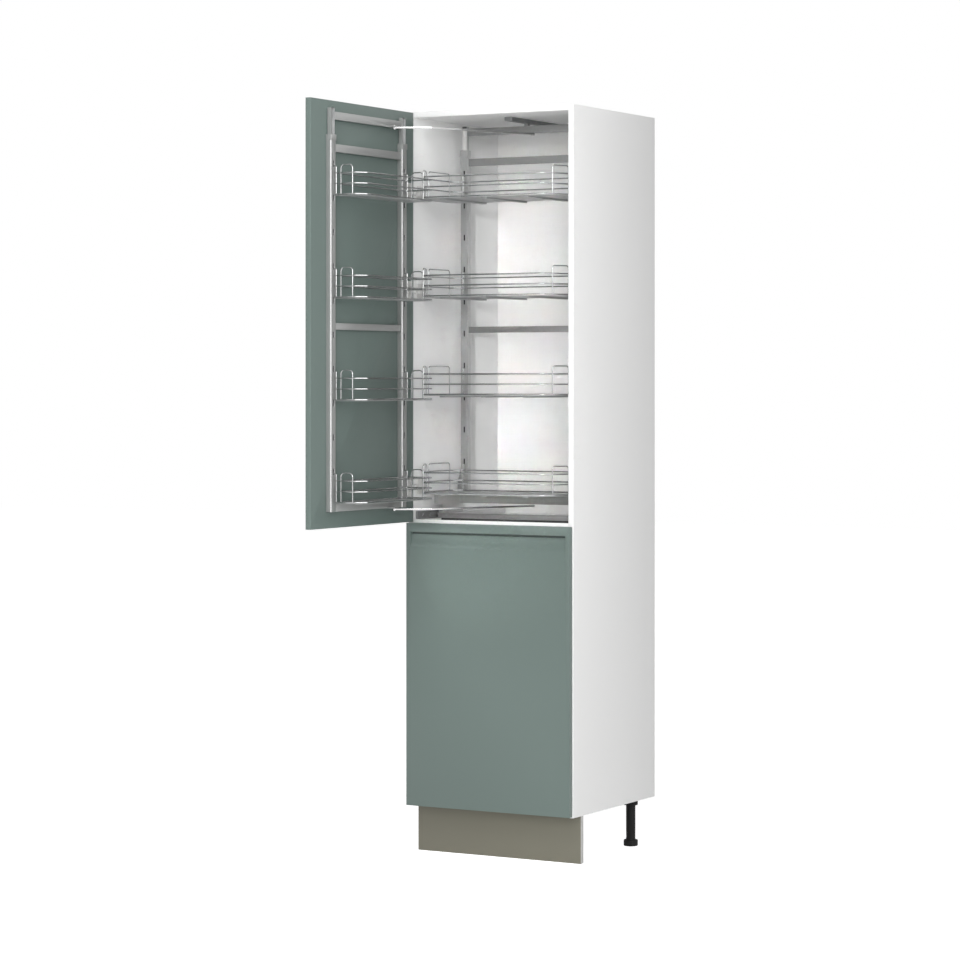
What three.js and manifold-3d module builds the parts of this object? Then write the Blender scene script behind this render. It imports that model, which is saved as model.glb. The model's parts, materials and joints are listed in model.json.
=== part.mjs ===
// Tall kitchen cabinet with a swing-out larder behind its upper door.
//
// Millimetres, +Z up. X runs to the right across the front, Y runs back into the cabinet, and
// Z = 0 is the floor. Inside this file every piece is drawn in the cabinet's own frame, whose
// Y = 0 is the front edge of the side panels; the last group moves the whole cabinet so that the
// origin is the middle of the plinth's bottom edge.
//
// The upper door stands open at a right angle. It carries a slotted steel frame with wire
// shelves, and two flat bars below its head and foot pull a second shelf frame forward out of
// the compartment. The door's pieces are drawn as they lie when the door is shut, and one group
// turns them about the hinge axis.

import * as THREE from "three";
import { mergeVertices } from "three/addons/utils/BufferGeometryUtils.js";
import Module from "manifold-3d";

const wasm = await Module();
wasm.setup();

// ---------------------------------------------------------------------------------------------
// Driving dimensions
// ---------------------------------------------------------------------------------------------

const FIT = 0.3;                 // gap left between two pieces that touch on the real cabinet

// carcass
const CARCASS_WIDTH = 600;
const CARCASS_HEIGHT = 2220;
const CARCASS_DEPTH = 560;
const PANEL = 18;                // board thickness
const BACK_PANEL = 8;
const BACK_VOID = 12;            // service gap behind the back panel
const DIVIDER_TOP = 916.5;       // fixed shelf between the compartments, above the carcass's foot
const LOWER_SHELF_TOP = 470;     // above the carcass's foot
const LOWER_SHELF_SETBACK = 30;

// plinth and legs
const LEG_HEIGHT = 150;
const LEG_FROM_SIDE = [46, 37];  // front and rear leg's centre to the outer face of the side panel
const LEG_FRONT_Y = 100;
const LEG_REAR_FROM_BACK = 100;
const LEG_COLUMN_R = 14.3;
const LEG_FOOT_R = 23.3;
const LEG_FOOT_HEIGHT = 22;
const LEG_SOCKET_HEIGHT = 26;
const PLINTH = 16;
const PLINTH_SETBACK = 54;
const PLINTH_END = 3;            // plinth stops short of the carcass's side

// doors
const DOOR = 18.4;               // door thickness
const DOOR_REVEAL = 3.3;
const DOOR_GAP = 3.2;            // between the two doors
const BUMPER = 2;                // shut door to the carcass's front edge
const AXIS_FROM_EDGE = 5.75;     // hinge axis to the door's hinge-side edge
const AXIS_FROM_FACE = 14.95;    // hinge axis to the door's inner face
const GRIP_FROM_EDGE = 28;       // milled finger grip: from the door's end
const GRIP_HEIGHT = 50;
const GRIP_DEPTH = 12;
const GRIP_FROM_SIDE = 15;

// cup hinges
const CUP_R = 17.4;
const CUP_DEPTH = 11.5;
const CUP_WALL = 1.9;
const CUP_FROM_EDGE = 22.7;      // cup's centre to the door's hinge-side edge
const CUP_FLANGE = 1;
const CUP_FLANGE_HALF = 31;        // flange's half height
const CUP_FLANGE_REACH = 14;       // flange past the cup's centre, towards the door's edge
const HINGE_ARM_LENGTH = 62;
const HINGE_ARM_WIDTH = 19;
const HINGE_ARM_INNER = 14;      // arm's inner face to the side panel
const HINGE_PLATE = 3;
const LOWEST_HINGE = 100;          // above the carcass's foot
const HINGE_TO_DIVIDER = [116.5, 104.5];   // nearest hinge below it and above it
const HINGE_TO_CEILING = [555, 242];       // upper door's other two

// slotted frames
const UPRIGHT_WIDTH = 28;
const UPRIGHT_DEPTH = 18.2;
const UPRIGHT_CORNER_R = 3.5;
const STEEL = 1.6;               // sheet that the uprights and crossbars are folded from
const SLOT_WIDTH = 6;
const SLOT_HEIGHT = 19;
const SLOT_COUNT = 10;
const TOP_SLOT_BELOW_SPLICE = 66.7;
const SPLICE_BELOW_CEILING = 100;    // where the telescoping head enters the uprights
const SPLICE_HEIGHT = 18;
const HEAD_WIDTH = 18;
const HEAD_DEPTH = 15;
const CROSSBAR_DEPTH = 11;

const DOOR_FRAME_ABOVE_DIVIDER = 43;
const DOOR_FRAME_BELOW_CEILING = 9;
const DOOR_FRAME_FROM_EDGE = 68.8;       // frame to the door's hinge-side edge
const DOOR_FRAME_FROM_FREE_EDGE = 84.6;
const DOOR_TRAY_ABOVE_FOOT = 25.6;       // lowest tray to the frame's foot

const INNER_FRAME_BELOW_CEILING = 14;
const INNER_FRAME_FROM_SIDE = 38;        // uprights to the side panels
const INNER_FRAME_FACE = 231;            // front face of the uprights, drawn forward
const TRAY_ABOVE_CARRIAGE = 2.1;         // lowest tray to the carriage

// the crossbars above the lowest one: where the foot lies, and the height
const HEAD_BAR = [44.5, 24];             // below the ceiling
const UPPER_BAR = [143, 24];             // below the ceiling
const MIDDLE_BAR = [599.5, 20];          // above the divider
const DOOR_FOOT_BAR_HEIGHT = 28;

// carriage that the inner frame stands on
const CARRIAGE_ABOVE_DIVIDER = 45.5;
const CARRIAGE_HEIGHT = 35;
const CARRIAGE_FROM_SIDE = 22;
const ARM_WIDTH = 15;
const ARM_FRONT = 92;
const GUSSET_HEIGHT = 88;
const GUSSET = 4;
const SKID_FRONT = 4;                    // skid behind the track's front

// guides
const TRACK_WIDTH = 17;
const TRACK_OUTSIDE = 1;             // track's outer face beyond the carriage's
const TRACK_HEIGHT = 16.3;
const TRACK_FRONT = 116;
const TRACK_FROM_BACK = 12;          // track's end to the back panel
const TRACK_CROSS_DEPTH = 30;
const BRACKET_LENGTH = 136;
const BRACKET_HEIGHT = 26;
const BRACKET_DEPTH = 8.7;
const BRACKET_FRONT = 12;
const TOP_RAIL_WIDTH = 27;
const TOP_RAIL_HEIGHT = 12;
const TOP_RAIL_FRONT = 116;
const TOP_RAIL_FROM_BACK = 10;
const RUNNER_WIDTH = 13.4;

// wire shelves
const SHELF_COUNT = 4;
const SLOTS_PER_SHELF = 3;
const WIRE_R = 2.2;
const LOOP_WIRE_R = 1.9;
const WIRE_SIDES = 4;
const WIRE_LEVELS = 3;
const WIRE_PITCH = 32.5;
const TOP_WIRE_BELOW_SLOT = 28;      // top wire to the middle of the slot that the hook sits in
const LOOP_TOP_BELOW_SLOT = 1.5;
const TRAY = 2;
const RIB_WIDTH = 20;                // ribs under the inner trays
const RIB_DEPTH = 5;
const RIB_SPACING = 151;
const RIB_SETBACK = 15;              // rib's front end behind the tray's front edge
const WIRE_BEND = 5;
const DOOR_SHELF_BACK = 5.5;         // back wire to the uprights' face
const DOOR_SHELF_DEPTH = 97;
const DOOR_SHELF_CUT = [30, 23.5];   // corner cut along the width and along the depth
const DOOR_LOOP = [21, 63];          // loop's legs behind the back wire
const INNER_SHELF_FROM_SIDE = 22;
const INNER_SHELF_BACK = 6;
const INNER_SHELF_DEPTH = 280;
const INNER_SHELF_CUT = [46, 85];
const INNER_SHELF_BACK_CUT = 30;
const INNER_SIDE_LOOP = [112, 243];  // loop's legs behind the front wire
const CORNER_LOOP_SHARE = 0.45;      // front leg's place along the cut corner, from the front
const CORNER_LOOP_BACK = 97;         // back leg behind the front wire, on the side wire

// swing bars
const BAR_WIDTH = 14;
const BAR_HEIGHT = 5;
const BAR_GAP = 0.5;                 // bar to the lug above it
const LUG = 3;
const LUG_HALF = 12;
const PIN_R = 3.7;
const PIN_CLEARANCE = 0.3;
const KNOB_R = 6.5;
const KNOB_HEIGHT = 5;
const BAR_FROM_AXIS = 162.95;        // bar's pin on the door to the hinge axis, along the door
const BAR_FROM_DOOR = 33;            // the same pin to the door's inner face
const BAR_KNEE_STEP = [100, 55.9];   // from that pin to the bar's knee, door open
const BAR_FRAME_PIN = [21, 9];       // other pin: right of the middle, behind the uprights' face

// ---------------------------------------------------------------------------------------------
// Sizes worked out from them
// ---------------------------------------------------------------------------------------------

const sideOuter = CARCASS_WIDTH / 2;
const sideInner = sideOuter - PANEL;
const carcassTop = LEG_HEIGHT + CARCASS_HEIGHT;
const ceiling = carcassTop - PANEL;
const dividerTop = LEG_HEIGHT + DIVIDER_TOP;
const backFace = CARCASS_DEPTH - BACK_VOID - BACK_PANEL;

const doorHalf = sideOuter - DOOR_REVEAL;
const doorInner = -BUMPER;
const doorOuter = doorInner - DOOR;
const doorSplit = dividerTop - PANEL / 2;
const axisX = -doorHalf + AXIS_FROM_EDGE;
const axisY = doorInner - AXIS_FROM_FACE;

const lowerHinges = [LEG_HEIGHT + LOWEST_HINGE, dividerTop - HINGE_TO_DIVIDER[0]];
const upperHinges = [dividerTop + HINGE_TO_DIVIDER[1], ...HINGE_TO_CEILING.map((z) => ceiling - z)];

const doorFrameFace = doorInner + FIT + UPRIGHT_DEPTH;
const doorFrameHeight = [dividerTop + DOOR_FRAME_ABOVE_DIVIDER, ceiling - DOOR_FRAME_BELOW_CEILING];
const doorUprights = [
  -doorHalf + DOOR_FRAME_FROM_EDGE + UPRIGHT_WIDTH / 2,
  doorHalf - DOOR_FRAME_FROM_FREE_EDGE - UPRIGHT_WIDTH / 2,
];
const innerFrameHalf = sideInner - INNER_FRAME_FROM_SIDE;
const innerUpright = innerFrameHalf - UPRIGHT_WIDTH / 2;
const innerFrameBack = INNER_FRAME_FACE + UPRIGHT_DEPTH;
const carriageHalf = sideInner - CARRIAGE_FROM_SIDE;
const carriageFoot = dividerTop + CARRIAGE_ABOVE_DIVIDER;
const carriageTop = carriageFoot + CARRIAGE_HEIGHT;
const trackTop = dividerTop + FIT + TRACK_HEIGHT;

const splice = ceiling - SPLICE_BELOW_CEILING;
const doorFootBar = [doorFrameHeight[0], DOOR_FOOT_BAR_HEIGHT];
const middleBar = [dividerTop + MIDDLE_BAR[0], MIDDLE_BAR[1]];
const [upperBar, headBar] = [UPPER_BAR, HEAD_BAR].map(([below, height]) => [ceiling - below, height]);

// shelf's slot above the foot of its tray
const slotAboveTray = TRAY + FIT + WIRE_R + (WIRE_LEVELS - 1) * WIRE_PITCH + TOP_WIRE_BELOW_SLOT;
const innerLowSlot = carriageTop + TRAY_ABOVE_CARRIAGE + slotAboveTray;
const doorLowSlot = doorFrameHeight[0] + DOOR_TRAY_ABOVE_FOOT + slotAboveTray;
const innerTopSlot = splice - TOP_SLOT_BELOW_SPLICE;
const slotPitch = (innerTopSlot - innerLowSlot) / (SLOT_COUNT - 1);
const doorTopSlot = doorLowSlot + (SLOT_COUNT - 1) * slotPitch;

const barDoorPivot = [axisX + BAR_FROM_AXIS, doorInner + BAR_FROM_DOOR];   // on the shut door
const barFramePivot = [BAR_FRAME_PIN[0], INNER_FRAME_FACE + BAR_FRAME_PIN[1]];

// ---------------------------------------------------------------------------------------------
// Materials
// ---------------------------------------------------------------------------------------------

function material(color, roughness, metalness) {
  return new THREE.MeshStandardMaterial({ color, roughness, metalness });
}

const whiteBoard = material(0xe9e9e8, 0.45, 0);
const greenFront = material(0x73827c, 0.5, 0);
const plinthBoard = material(0x817e72, 0.55, 0);
const blackPlastic = material(0x1b1c1d, 0.5, 0);
const satinSteel = material(0x9a9b9b, 0.4, 0.8);
const trayLacquer = material(0x8f9292, 0.45, 0.4);
const chrome = material(0xc9cbcc, 0.15, 1);
const nickel = material(0xb4b3ae, 0.3, 1);
const darkSteel = material(0x5b5e60, 0.45, 0.7);

// ---------------------------------------------------------------------------------------------
// Shape helpers
// ---------------------------------------------------------------------------------------------

function block([x0, x1], [y0, y1], [z0, z1]) {
  const box = new THREE.BoxGeometry(x1 - x0, y1 - y0, z1 - z0);
  return box.translate((x0 + x1) / 2, (y0 + y1) / 2, (z0 + z1) / 2);
}

function outlineShape(points) {
  return new THREE.Shape(points.map(([u, v]) => new THREE.Vector2(u, v)));
}

// a flat outline in X and Y, raised from z0 to z1
function raised(shape, [z0, z1]) {
  const options = { depth: z1 - z0, bevelEnabled: false, curveSegments: 6 };
  return new THREE.ExtrudeGeometry(shape, options).translate(0, 0, z0);
}

// an outline in Y and Z, drawn out along X
function drawnOut(points, [x0, x1]) {
  const solid = raised(outlineShape(points), [x0, x1]);
  const turn = new THREE.Matrix4().makeBasis(
    new THREE.Vector3(0, 1, 0),
    new THREE.Vector3(0, 0, 1),
    new THREE.Vector3(1, 0, 0),
  );
  return solid.applyMatrix4(turn);
}

// a profile of [radius, height] turned about the Y axis
function turned(profile, segments = 16) {
  const points = profile.map(([r, h]) => new THREE.Vector2(r, h));
  return new THREE.LatheGeometry(points, segments);
}

// the same, standing on Z
function turnedUpright(profile, segments) {
  return turned(profile, segments).rotateX(Math.PI / 2);
}

// A wire of even thickness whose middle line stays in one plane; `normal` is that plane's. The
// radius is measured to the flats of its section.
function wire(points, flatRadius, normal, closed = false) {
  const count = points.length;
  const radius = flatRadius / Math.cos(Math.PI / WIRE_SIDES);
  const vertices = [];
  const triangles = [];
  points.forEach((point, i) => {
    const before = points[closed ? (i - 1 + count) % count : Math.max(i - 1, 0)];
    const after = points[closed ? (i + 1) % count : Math.min(i + 1, count - 1)];
    const arriving = point.clone().sub(before).normalize();
    const leaving = after.clone().sub(point).normalize();
    const along = arriving.clone().add(leaving).normalize();
    const mitre = 1 / Math.max(arriving.lengthSq() ? along.dot(arriving) : along.dot(leaving), 0.5);
    const across = new THREE.Vector3().crossVectors(along, normal);
    for (let k = 0; k < WIRE_SIDES; k += 1) {
      const angle = (2 * Math.PI * (k + 0.5)) / WIRE_SIDES;
      const vertex = point.clone()
        .addScaledVector(normal, radius * Math.cos(angle))
        .addScaledVector(across, radius * mitre * Math.sin(angle));
      vertices.push(vertex.x, vertex.y, vertex.z);
    }
  });
  const lastRing = closed ? count : count - 1;
  for (let i = 0; i < lastRing; i += 1) {
    for (let k = 0; k < WIRE_SIDES; k += 1) {
      const next = (k + 1) % WIRE_SIDES;
      const here = i * WIRE_SIDES;
      const there = ((i + 1) % count) * WIRE_SIDES;
      triangles.push(here + k, here + next, there + k, here + next, there + next, there + k);
    }
  }
  if (!closed) {
    const end = (count - 1) * WIRE_SIDES;
    for (let k = 1; k < WIRE_SIDES - 1; k += 1) {
      triangles.push(0, k + 1, k, end, end + k, end + k + 1);
    }
  }
  const geometry = new THREE.BufferGeometry();
  geometry.setAttribute("position", new THREE.Float32BufferAttribute(vertices, 3));
  geometry.setIndex(triangles);
  return geometry;
}

// the same line with each inner corner replaced by a bend of two points
function bent(points, reach, closed = false) {
  const count = points.length;
  return points.flatMap((point, i) => {
    if (!closed && (i === 0 || i === count - 1)) {
      return [point];
    }
    const before = points[(i - 1 + count) % count];
    const after = points[(i + 1) % count];
    return [before, after].map((other) => {
      const step = other.clone().sub(point);
      return point.clone().addScaledVector(step.clone().normalize(), Math.min(reach, step.length() / 3));
    });
  });
}

// a closed solid whose faces point out
function solidOf(geometry) {
  const bare = geometry.clone();
  bare.deleteAttribute("normal");
  bare.deleteAttribute("uv");
  const merged = mergeVertices(bare, 1e-4);
  const corners = Array.from(merged.index.array);
  const triangles = [];
  for (let i = 0; i < corners.length; i += 3) {
    const [a, b, c] = corners.slice(i, i + 3);
    if (a !== b && b !== c && c !== a) {
      triangles.push(a, b, c);
    }
  }
  const mesh = (order) => new wasm.Mesh({
    numProp: 3,
    vertProperties: merged.attributes.position.array,
    triVerts: new Uint32Array(order),
  });
  const solid = new wasm.Manifold(mesh(triangles));
  return solid.volume() > 0 ? solid : new wasm.Manifold(mesh(triangles.reverse()));
}

function joined(...geometries) {
  return geometries.map(solidOf).reduce((whole, piece) => whole.add(piece));
}

function without(solid, ...geometries) {
  return geometries.map(solidOf).reduce((whole, piece) => whole.subtract(piece), solid);
}

function geometryOf(solid) {
  const { vertProperties, triVerts } = solid.getMesh();
  const geometry = new THREE.BufferGeometry();
  geometry.setAttribute("position", new THREE.BufferAttribute(vertProperties, 3));
  geometry.setIndex(new THREE.BufferAttribute(triVerts, 1));
  geometry.computeVertexNormals();
  return geometry;
}

function piece(name, shape, look) {
  const geometry = shape.isBufferGeometry ? geometryOf(solidOf(shape)) : geometryOf(shape);
  const mesh = new THREE.Mesh(geometry, look);
  mesh.name = name;
  return mesh;
}

const up = new THREE.Vector3(0, 0, 1);

function at([x, y], z) {
  return new THREE.Vector3(x, y, z);
}

// ---------------------------------------------------------------------------------------------
// Carcass, plinth and legs
// ---------------------------------------------------------------------------------------------

function carcass() {
  const between = [-sideInner + FIT, sideInner - FIT];
  const depth = [0, CARCASS_DEPTH];
  const height = [LEG_HEIGHT, carcassTop];
  const shelfDepth = [0, backFace - FIT];
  const lowerShelf = LEG_HEIGHT + LOWER_SHELF_TOP;
  return [
    piece("side_panel_left", block([-sideOuter, -sideInner], depth, height), whiteBoard),
    piece("side_panel_right", block([sideInner, sideOuter], depth, height), whiteBoard),
    piece("bottom_panel", block(between, depth, [LEG_HEIGHT, LEG_HEIGHT + PANEL]), whiteBoard),
    piece("top_panel", block(between, depth, [ceiling, carcassTop]), whiteBoard),
    piece("divider_shelf", block(between, shelfDepth, [dividerTop - PANEL, dividerTop]), whiteBoard),
    piece("lower_shelf", block(between, [LOWER_SHELF_SETBACK, backFace - FIT],
      [lowerShelf - PANEL, lowerShelf]), whiteBoard),
    piece("back_panel", block(between, [backFace, backFace + BACK_PANEL],
      [LEG_HEIGHT + PANEL + FIT, ceiling - FIT]), whiteBoard),
  ];
}

function plinth() {
  const half = sideOuter - PLINTH_END;
  const board = block([-half, half], [PLINTH_SETBACK, PLINTH_SETBACK + PLINTH], [0, LEG_HEIGHT - FIT]);
  return piece("plinth", board, plinthBoard);
}

function legs() {
  const flange = 4;
  const chamfer = 2;
  const top = LEG_HEIGHT - FIT;
  const socketFoot = LEG_HEIGHT - LEG_SOCKET_HEIGHT;
  const profile = [
    [0, 0],
    [LEG_FOOT_R - chamfer, 0],
    [LEG_FOOT_R, chamfer],
    [LEG_FOOT_R, LEG_FOOT_HEIGHT - 3 * chamfer],
    [LEG_COLUMN_R, LEG_FOOT_HEIGHT],
    [LEG_COLUMN_R, socketFoot],
    [LEG_FOOT_R - flange, socketFoot],
    [LEG_FOOT_R, top - flange],
    [LEG_FOOT_R, top],
    [0, top],
  ];
  const [frontX, rearX] = LEG_FROM_SIDE.map((inset) => sideOuter - inset);
  const rearY = CARCASS_DEPTH - LEG_REAR_FROM_BACK;
  const places = {
    leg_front_left: [-frontX, LEG_FRONT_Y],
    leg_front_right: [frontX, LEG_FRONT_Y],
    leg_rear_left: [-rearX, rearY],
    leg_rear_right: [rearX, rearY],
  };
  return Object.entries(places).map(([name, [legX, legY]]) => {
    const leg = piece(name, turnedUpright(profile, 14), blackPlastic);
    leg.position.set(legX, legY, 0);
    return leg;
  });
}

// ---------------------------------------------------------------------------------------------
// Doors and their cup hinges, drawn shut
// ---------------------------------------------------------------------------------------------

const cupX = -doorHalf + CUP_FROM_EDGE;

// a scoop across the door's front: a square shoulder at `from`, running out smoothly at `to`
function fingerGrip(from, to) {
  const deep = doorOuter + GRIP_DEPTH;
  const outside = doorOuter - 1;
  const reach = to - from;
  const curve = [0.25, 0.45, 0.65, 0.85, 1].map((share) => [
    doorOuter + GRIP_DEPTH * (1 - ((share - 0.25) / 0.75) ** 1.5),
    from + reach * share,
  ]);
  const half = doorHalf - GRIP_FROM_SIDE;
  return drawnOut([[outside, from], [deep, from], ...curve, [outside, to]], [-half, half]);
}

function cupBore(z) {
  const r = CUP_R + FIT;
  const foot = doorInner - CUP_DEPTH - FIT;
  return turned([[0, foot], [r, foot], [r, doorInner + 1], [0, doorInner + 1]], 20)
    .translate(cupX, 0, z);
}

function doorLeaf(name, [foot, top], grip, hingeHeights) {
  const leaf = solidOf(block([-doorHalf, doorHalf], [doorOuter, doorInner], [foot, top]));
  return piece(name, without(leaf, grip, ...hingeHeights.map(cupBore)), greenFront);
}

function hingeCup(name, z) {
  const flangeTop = doorInner + FIT + CUP_FLANGE;
  const foot = doorInner - CUP_DEPTH;
  const hollow = CUP_R - CUP_WALL;
  const knuckle = HINGE_ARM_WIDTH / 4;
  const body = joined(
    turned([[0, foot], [CUP_R, foot], [CUP_R, flangeTop], [0, flangeTop]]),
    block([-CUP_FLANGE_REACH, CUP_R], [doorInner + FIT, flangeTop],
      [-CUP_FLANGE_HALF, CUP_FLANGE_HALF]),
  );
  const shell = without(body, turned([[0, foot + 1.2], [hollow, foot + 1.2], [hollow, 1], [0, 1]]));
  const cup = shell.add(solidOf(block([-7, 9], [foot + 1, 10], [-knuckle, knuckle])));
  const mesh = piece(name, cup, nickel);
  mesh.position.set(cupX, 0, z);
  return mesh;
}

function hingeArm(name, z) {
  const half = HINGE_ARM_WIDTH / 2;
  const knuckleRoom = HINGE_ARM_WIDTH / 4 + 2 * FIT;
  const wall = -sideInner + FIT;
  const plateTop = wall + HINGE_PLATE;
  const inner = -sideInner + HINGE_ARM_INNER;
  const arm = joined(
    block([wall, plateTop], [20, HINGE_ARM_LENGTH], [-24, 24]),
    block([plateTop - 1, inner], [14, HINGE_ARM_LENGTH - 4], [-half, half]),
    block([inner - 9, inner], [-4, 16], [knuckleRoom, half]),
    block([inner - 9, inner], [-4, 16], [-half, -knuckleRoom]),
  );
  const mesh = piece(name, arm, nickel);
  mesh.position.set(0, 0, z);
  return mesh;
}

function hingeNames(door, part, heights) {
  return heights.map((z, i) => [`${part}_${door}_${i + 1}`, z]);
}

// ---------------------------------------------------------------------------------------------
// Slotted frames
// ---------------------------------------------------------------------------------------------

// Half of the upright's section, across and in from the web's face: round the folded corner to the
// open edge and back inside
function uprightFold() {
  const half = UPRIGHT_WIDTH / 2;
  const corner = (radius) => [0, 30, 60, 90].map((degrees) => {
    const angle = THREE.MathUtils.degToRad(degrees);
    return [
      half - UPRIGHT_CORNER_R + radius * Math.sin(angle),
      UPRIGHT_CORNER_R - radius * Math.cos(angle),
    ];
  });
  return [
    ...corner(UPRIGHT_CORNER_R),
    [half, UPRIGHT_DEPTH],
    [half - STEEL, UPRIGHT_DEPTH],
    ...corner(UPRIGHT_CORNER_R - STEEL).reverse(),
  ];
}

// An upright at x. Its web is at `face` and its open side lies `inward` of it (+1 towards +Y).
function upright(name, x, face, inward, [foot, top], topSlot) {
  const half = UPRIGHT_WIDTH / 2;
  const depth = (v) => face + inward * v;
  const fold = uprightFold();
  const channel = raised(outlineShape([
    ...fold.map(([across, v]) => [x + across, depth(v)]),
    ...fold.map(([across, v]) => [x - across, depth(v)]).reverse(),
  ]), [foot, splice]);
  const sorted = (a, b) => [Math.min(a, b), Math.max(a, b)];
  const headStart = (UPRIGHT_DEPTH - HEAD_DEPTH) / 2;
  const clip = block([x - half - 1, x + half + 1], sorted(depth(-1), depth(UPRIGHT_DEPTH)),
    [splice - SPLICE_HEIGHT / 2, splice + SPLICE_HEIGHT / 2]);
  const head = block([x - HEAD_WIDTH / 2, x + HEAD_WIDTH / 2],
    sorted(depth(headStart), depth(headStart + HEAD_DEPTH)), [splice, top]);
  const slots = Array.from({ length: SLOT_COUNT }, (_, i) => {
    const z = topSlot - i * slotPitch;
    return block([x - SLOT_WIDTH / 2, x + SLOT_WIDTH / 2], sorted(depth(-1), depth(STEEL + 1)),
      [z - SLOT_HEIGHT / 2, z + SLOT_HEIGHT / 2]);
  });
  return piece(name, without(joined(channel, clip, head), ...slots), satinSteel);
}

// A folded crossbar from x0 to x1 whose web lies `inward` of the uprights' face
function crossbar([x0, x1], face, inward, [foot, height]) {
  const start = (UPRIGHT_DEPTH - CROSSBAR_DEPTH) / 2;
  const depth = (v) => face + inward * (start + v);
  const top = foot + height;
  return drawnOut([
    [depth(0), foot],
    [depth(CROSSBAR_DEPTH), foot],
    [depth(CROSSBAR_DEPTH), foot + STEEL],
    [depth(STEEL), foot + STEEL],
    [depth(STEEL), top - STEEL],
    [depth(CROSSBAR_DEPTH), top - STEEL],
    [depth(CROSSBAR_DEPTH), top],
    [depth(0), top],
  ], [x0, x1]);
}

// clear span between two uprights, at the channels or at the narrower head pieces
function span([left, right], width) {
  return [left + width / 2 + FIT, right - width / 2 - FIT];
}

// A lug on a crossbar's foot, bored for the pin of a swing bar; all on the shut door
function pivotLug(foot) {
  const [x, y] = barDoorPivot;
  const back = doorFrameFace - (UPRIGHT_DEPTH + CROSSBAR_DEPTH) / 2;
  const hole = turnedUpright([[0, -1], [PIN_R + PIN_CLEARANCE, -1], [PIN_R + PIN_CLEARANCE, 1 + LUG],
    [0, 1 + LUG]], 16).translate(x, y, foot);
  const plate = block([x - LUG_HALF, x + LUG_HALF], [back, y + LUG_HALF - 3], [foot, foot + LUG]);
  return { plate, hole };
}

function barWithLug(xSpan, [foot, height]) {
  const { plate, hole } = pivotLug(foot);
  return without(joined(crossbar(xSpan, doorFrameFace, -1, [foot, height]), plate), hole);
}

function doorFrame() {
  const [left, right] = doorUprights;
  const channels = span(doorUprights, UPRIGHT_WIDTH);
  const heads = span(doorUprights, HEAD_WIDTH);
  const plainBar = (bar) => crossbar(channels, doorFrameFace, -1, bar);
  const doorUpright = (name, x) => upright(name, x, doorFrameFace, -1, doorFrameHeight, doorTopSlot);
  return [
    piece("door_crossbar_head", barWithLug(heads, headBar), satinSteel),
    piece("door_crossbar_upper", plainBar(upperBar), satinSteel),
    piece("door_crossbar_middle", plainBar(middleBar), satinSteel),
    piece("door_crossbar_foot", barWithLug(channels, doorFootBar), satinSteel),
    doorUpright("door_upright_hinge_side", left),
    doorUpright("door_upright_free_side", right),
  ];
}

// The crossbar at the head carries the runner that slides in the rail under the ceiling
function runner() {
  const half = RUNNER_WIDTH / 2;
  const centre = (INNER_FRAME_FACE + innerFrameBack) / 2;
  const [foot, height] = headBar;
  return block([-half, half], [centre - half, centre + half], [foot + height - 1, ceiling - 3]);
}

function carriage() {
  const z = [carriageFoot, carriageTop];
  const armOuter = carriageHalf;
  const armInner = carriageHalf - ARM_WIDTH;
  const gussetInner = innerFrameHalf + FIT;
  const gussetY = INNER_FRAME_FACE + UPRIGHT_DEPTH / 2 - GUSSET / 2;
  const skidZ = [trackTop + FIT, carriageFoot + 1];
  const parts = [block([-armOuter, armOuter], [INNER_FRAME_FACE, innerFrameBack], z)];
  for (const side of [-1, 1]) {
    const x = [side * armInner, side * armOuter].sort((a, b) => a - b);
    parts.push(block(x, [ARM_FRONT, INNER_FRAME_FACE + 1], z));
    parts.push(block(x, [TRACK_FRONT + SKID_FRONT, innerFrameBack], skidZ));
    const web = outlineShape([
      [side * gussetInner, carriageTop - 1],
      [side * armOuter, carriageTop - 1],
      [side * armOuter, carriageTop + GUSSET_HEIGHT / 3],
      [side * gussetInner, carriageTop + GUSSET_HEIGHT],
    ]);
    const gusset = raised(web, [0, GUSSET]).rotateX(Math.PI / 2);
    parts.push(gusset.translate(0, gussetY + GUSSET, 0));
  }
  return piece("carriage", joined(...parts), satinSteel);
}

function innerFrame() {
  const uprights = [-innerUpright, innerUpright];
  const height = [carriageTop + FIT, ceiling - INNER_FRAME_BELOW_CEILING];
  const bar = (width, heights) => crossbar(span(uprights, width), INNER_FRAME_FACE, 1, heights);
  const innerUprightAt = (name, x) => upright(name, x, INNER_FRAME_FACE, 1, height, innerTopSlot);
  return [
    piece("inner_crossbar_head", joined(bar(HEAD_WIDTH, headBar), runner()), satinSteel),
    piece("inner_crossbar_upper", bar(UPRIGHT_WIDTH, upperBar), satinSteel),
    piece("inner_crossbar_middle", bar(UPRIGHT_WIDTH, middleBar), satinSteel),
    innerUprightAt("inner_upright_left", -innerUpright),
    innerUprightAt("inner_upright_right", innerUpright),
    carriage(),
  ];
}

// ---------------------------------------------------------------------------------------------
// Wire shelves
// ---------------------------------------------------------------------------------------------

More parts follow.
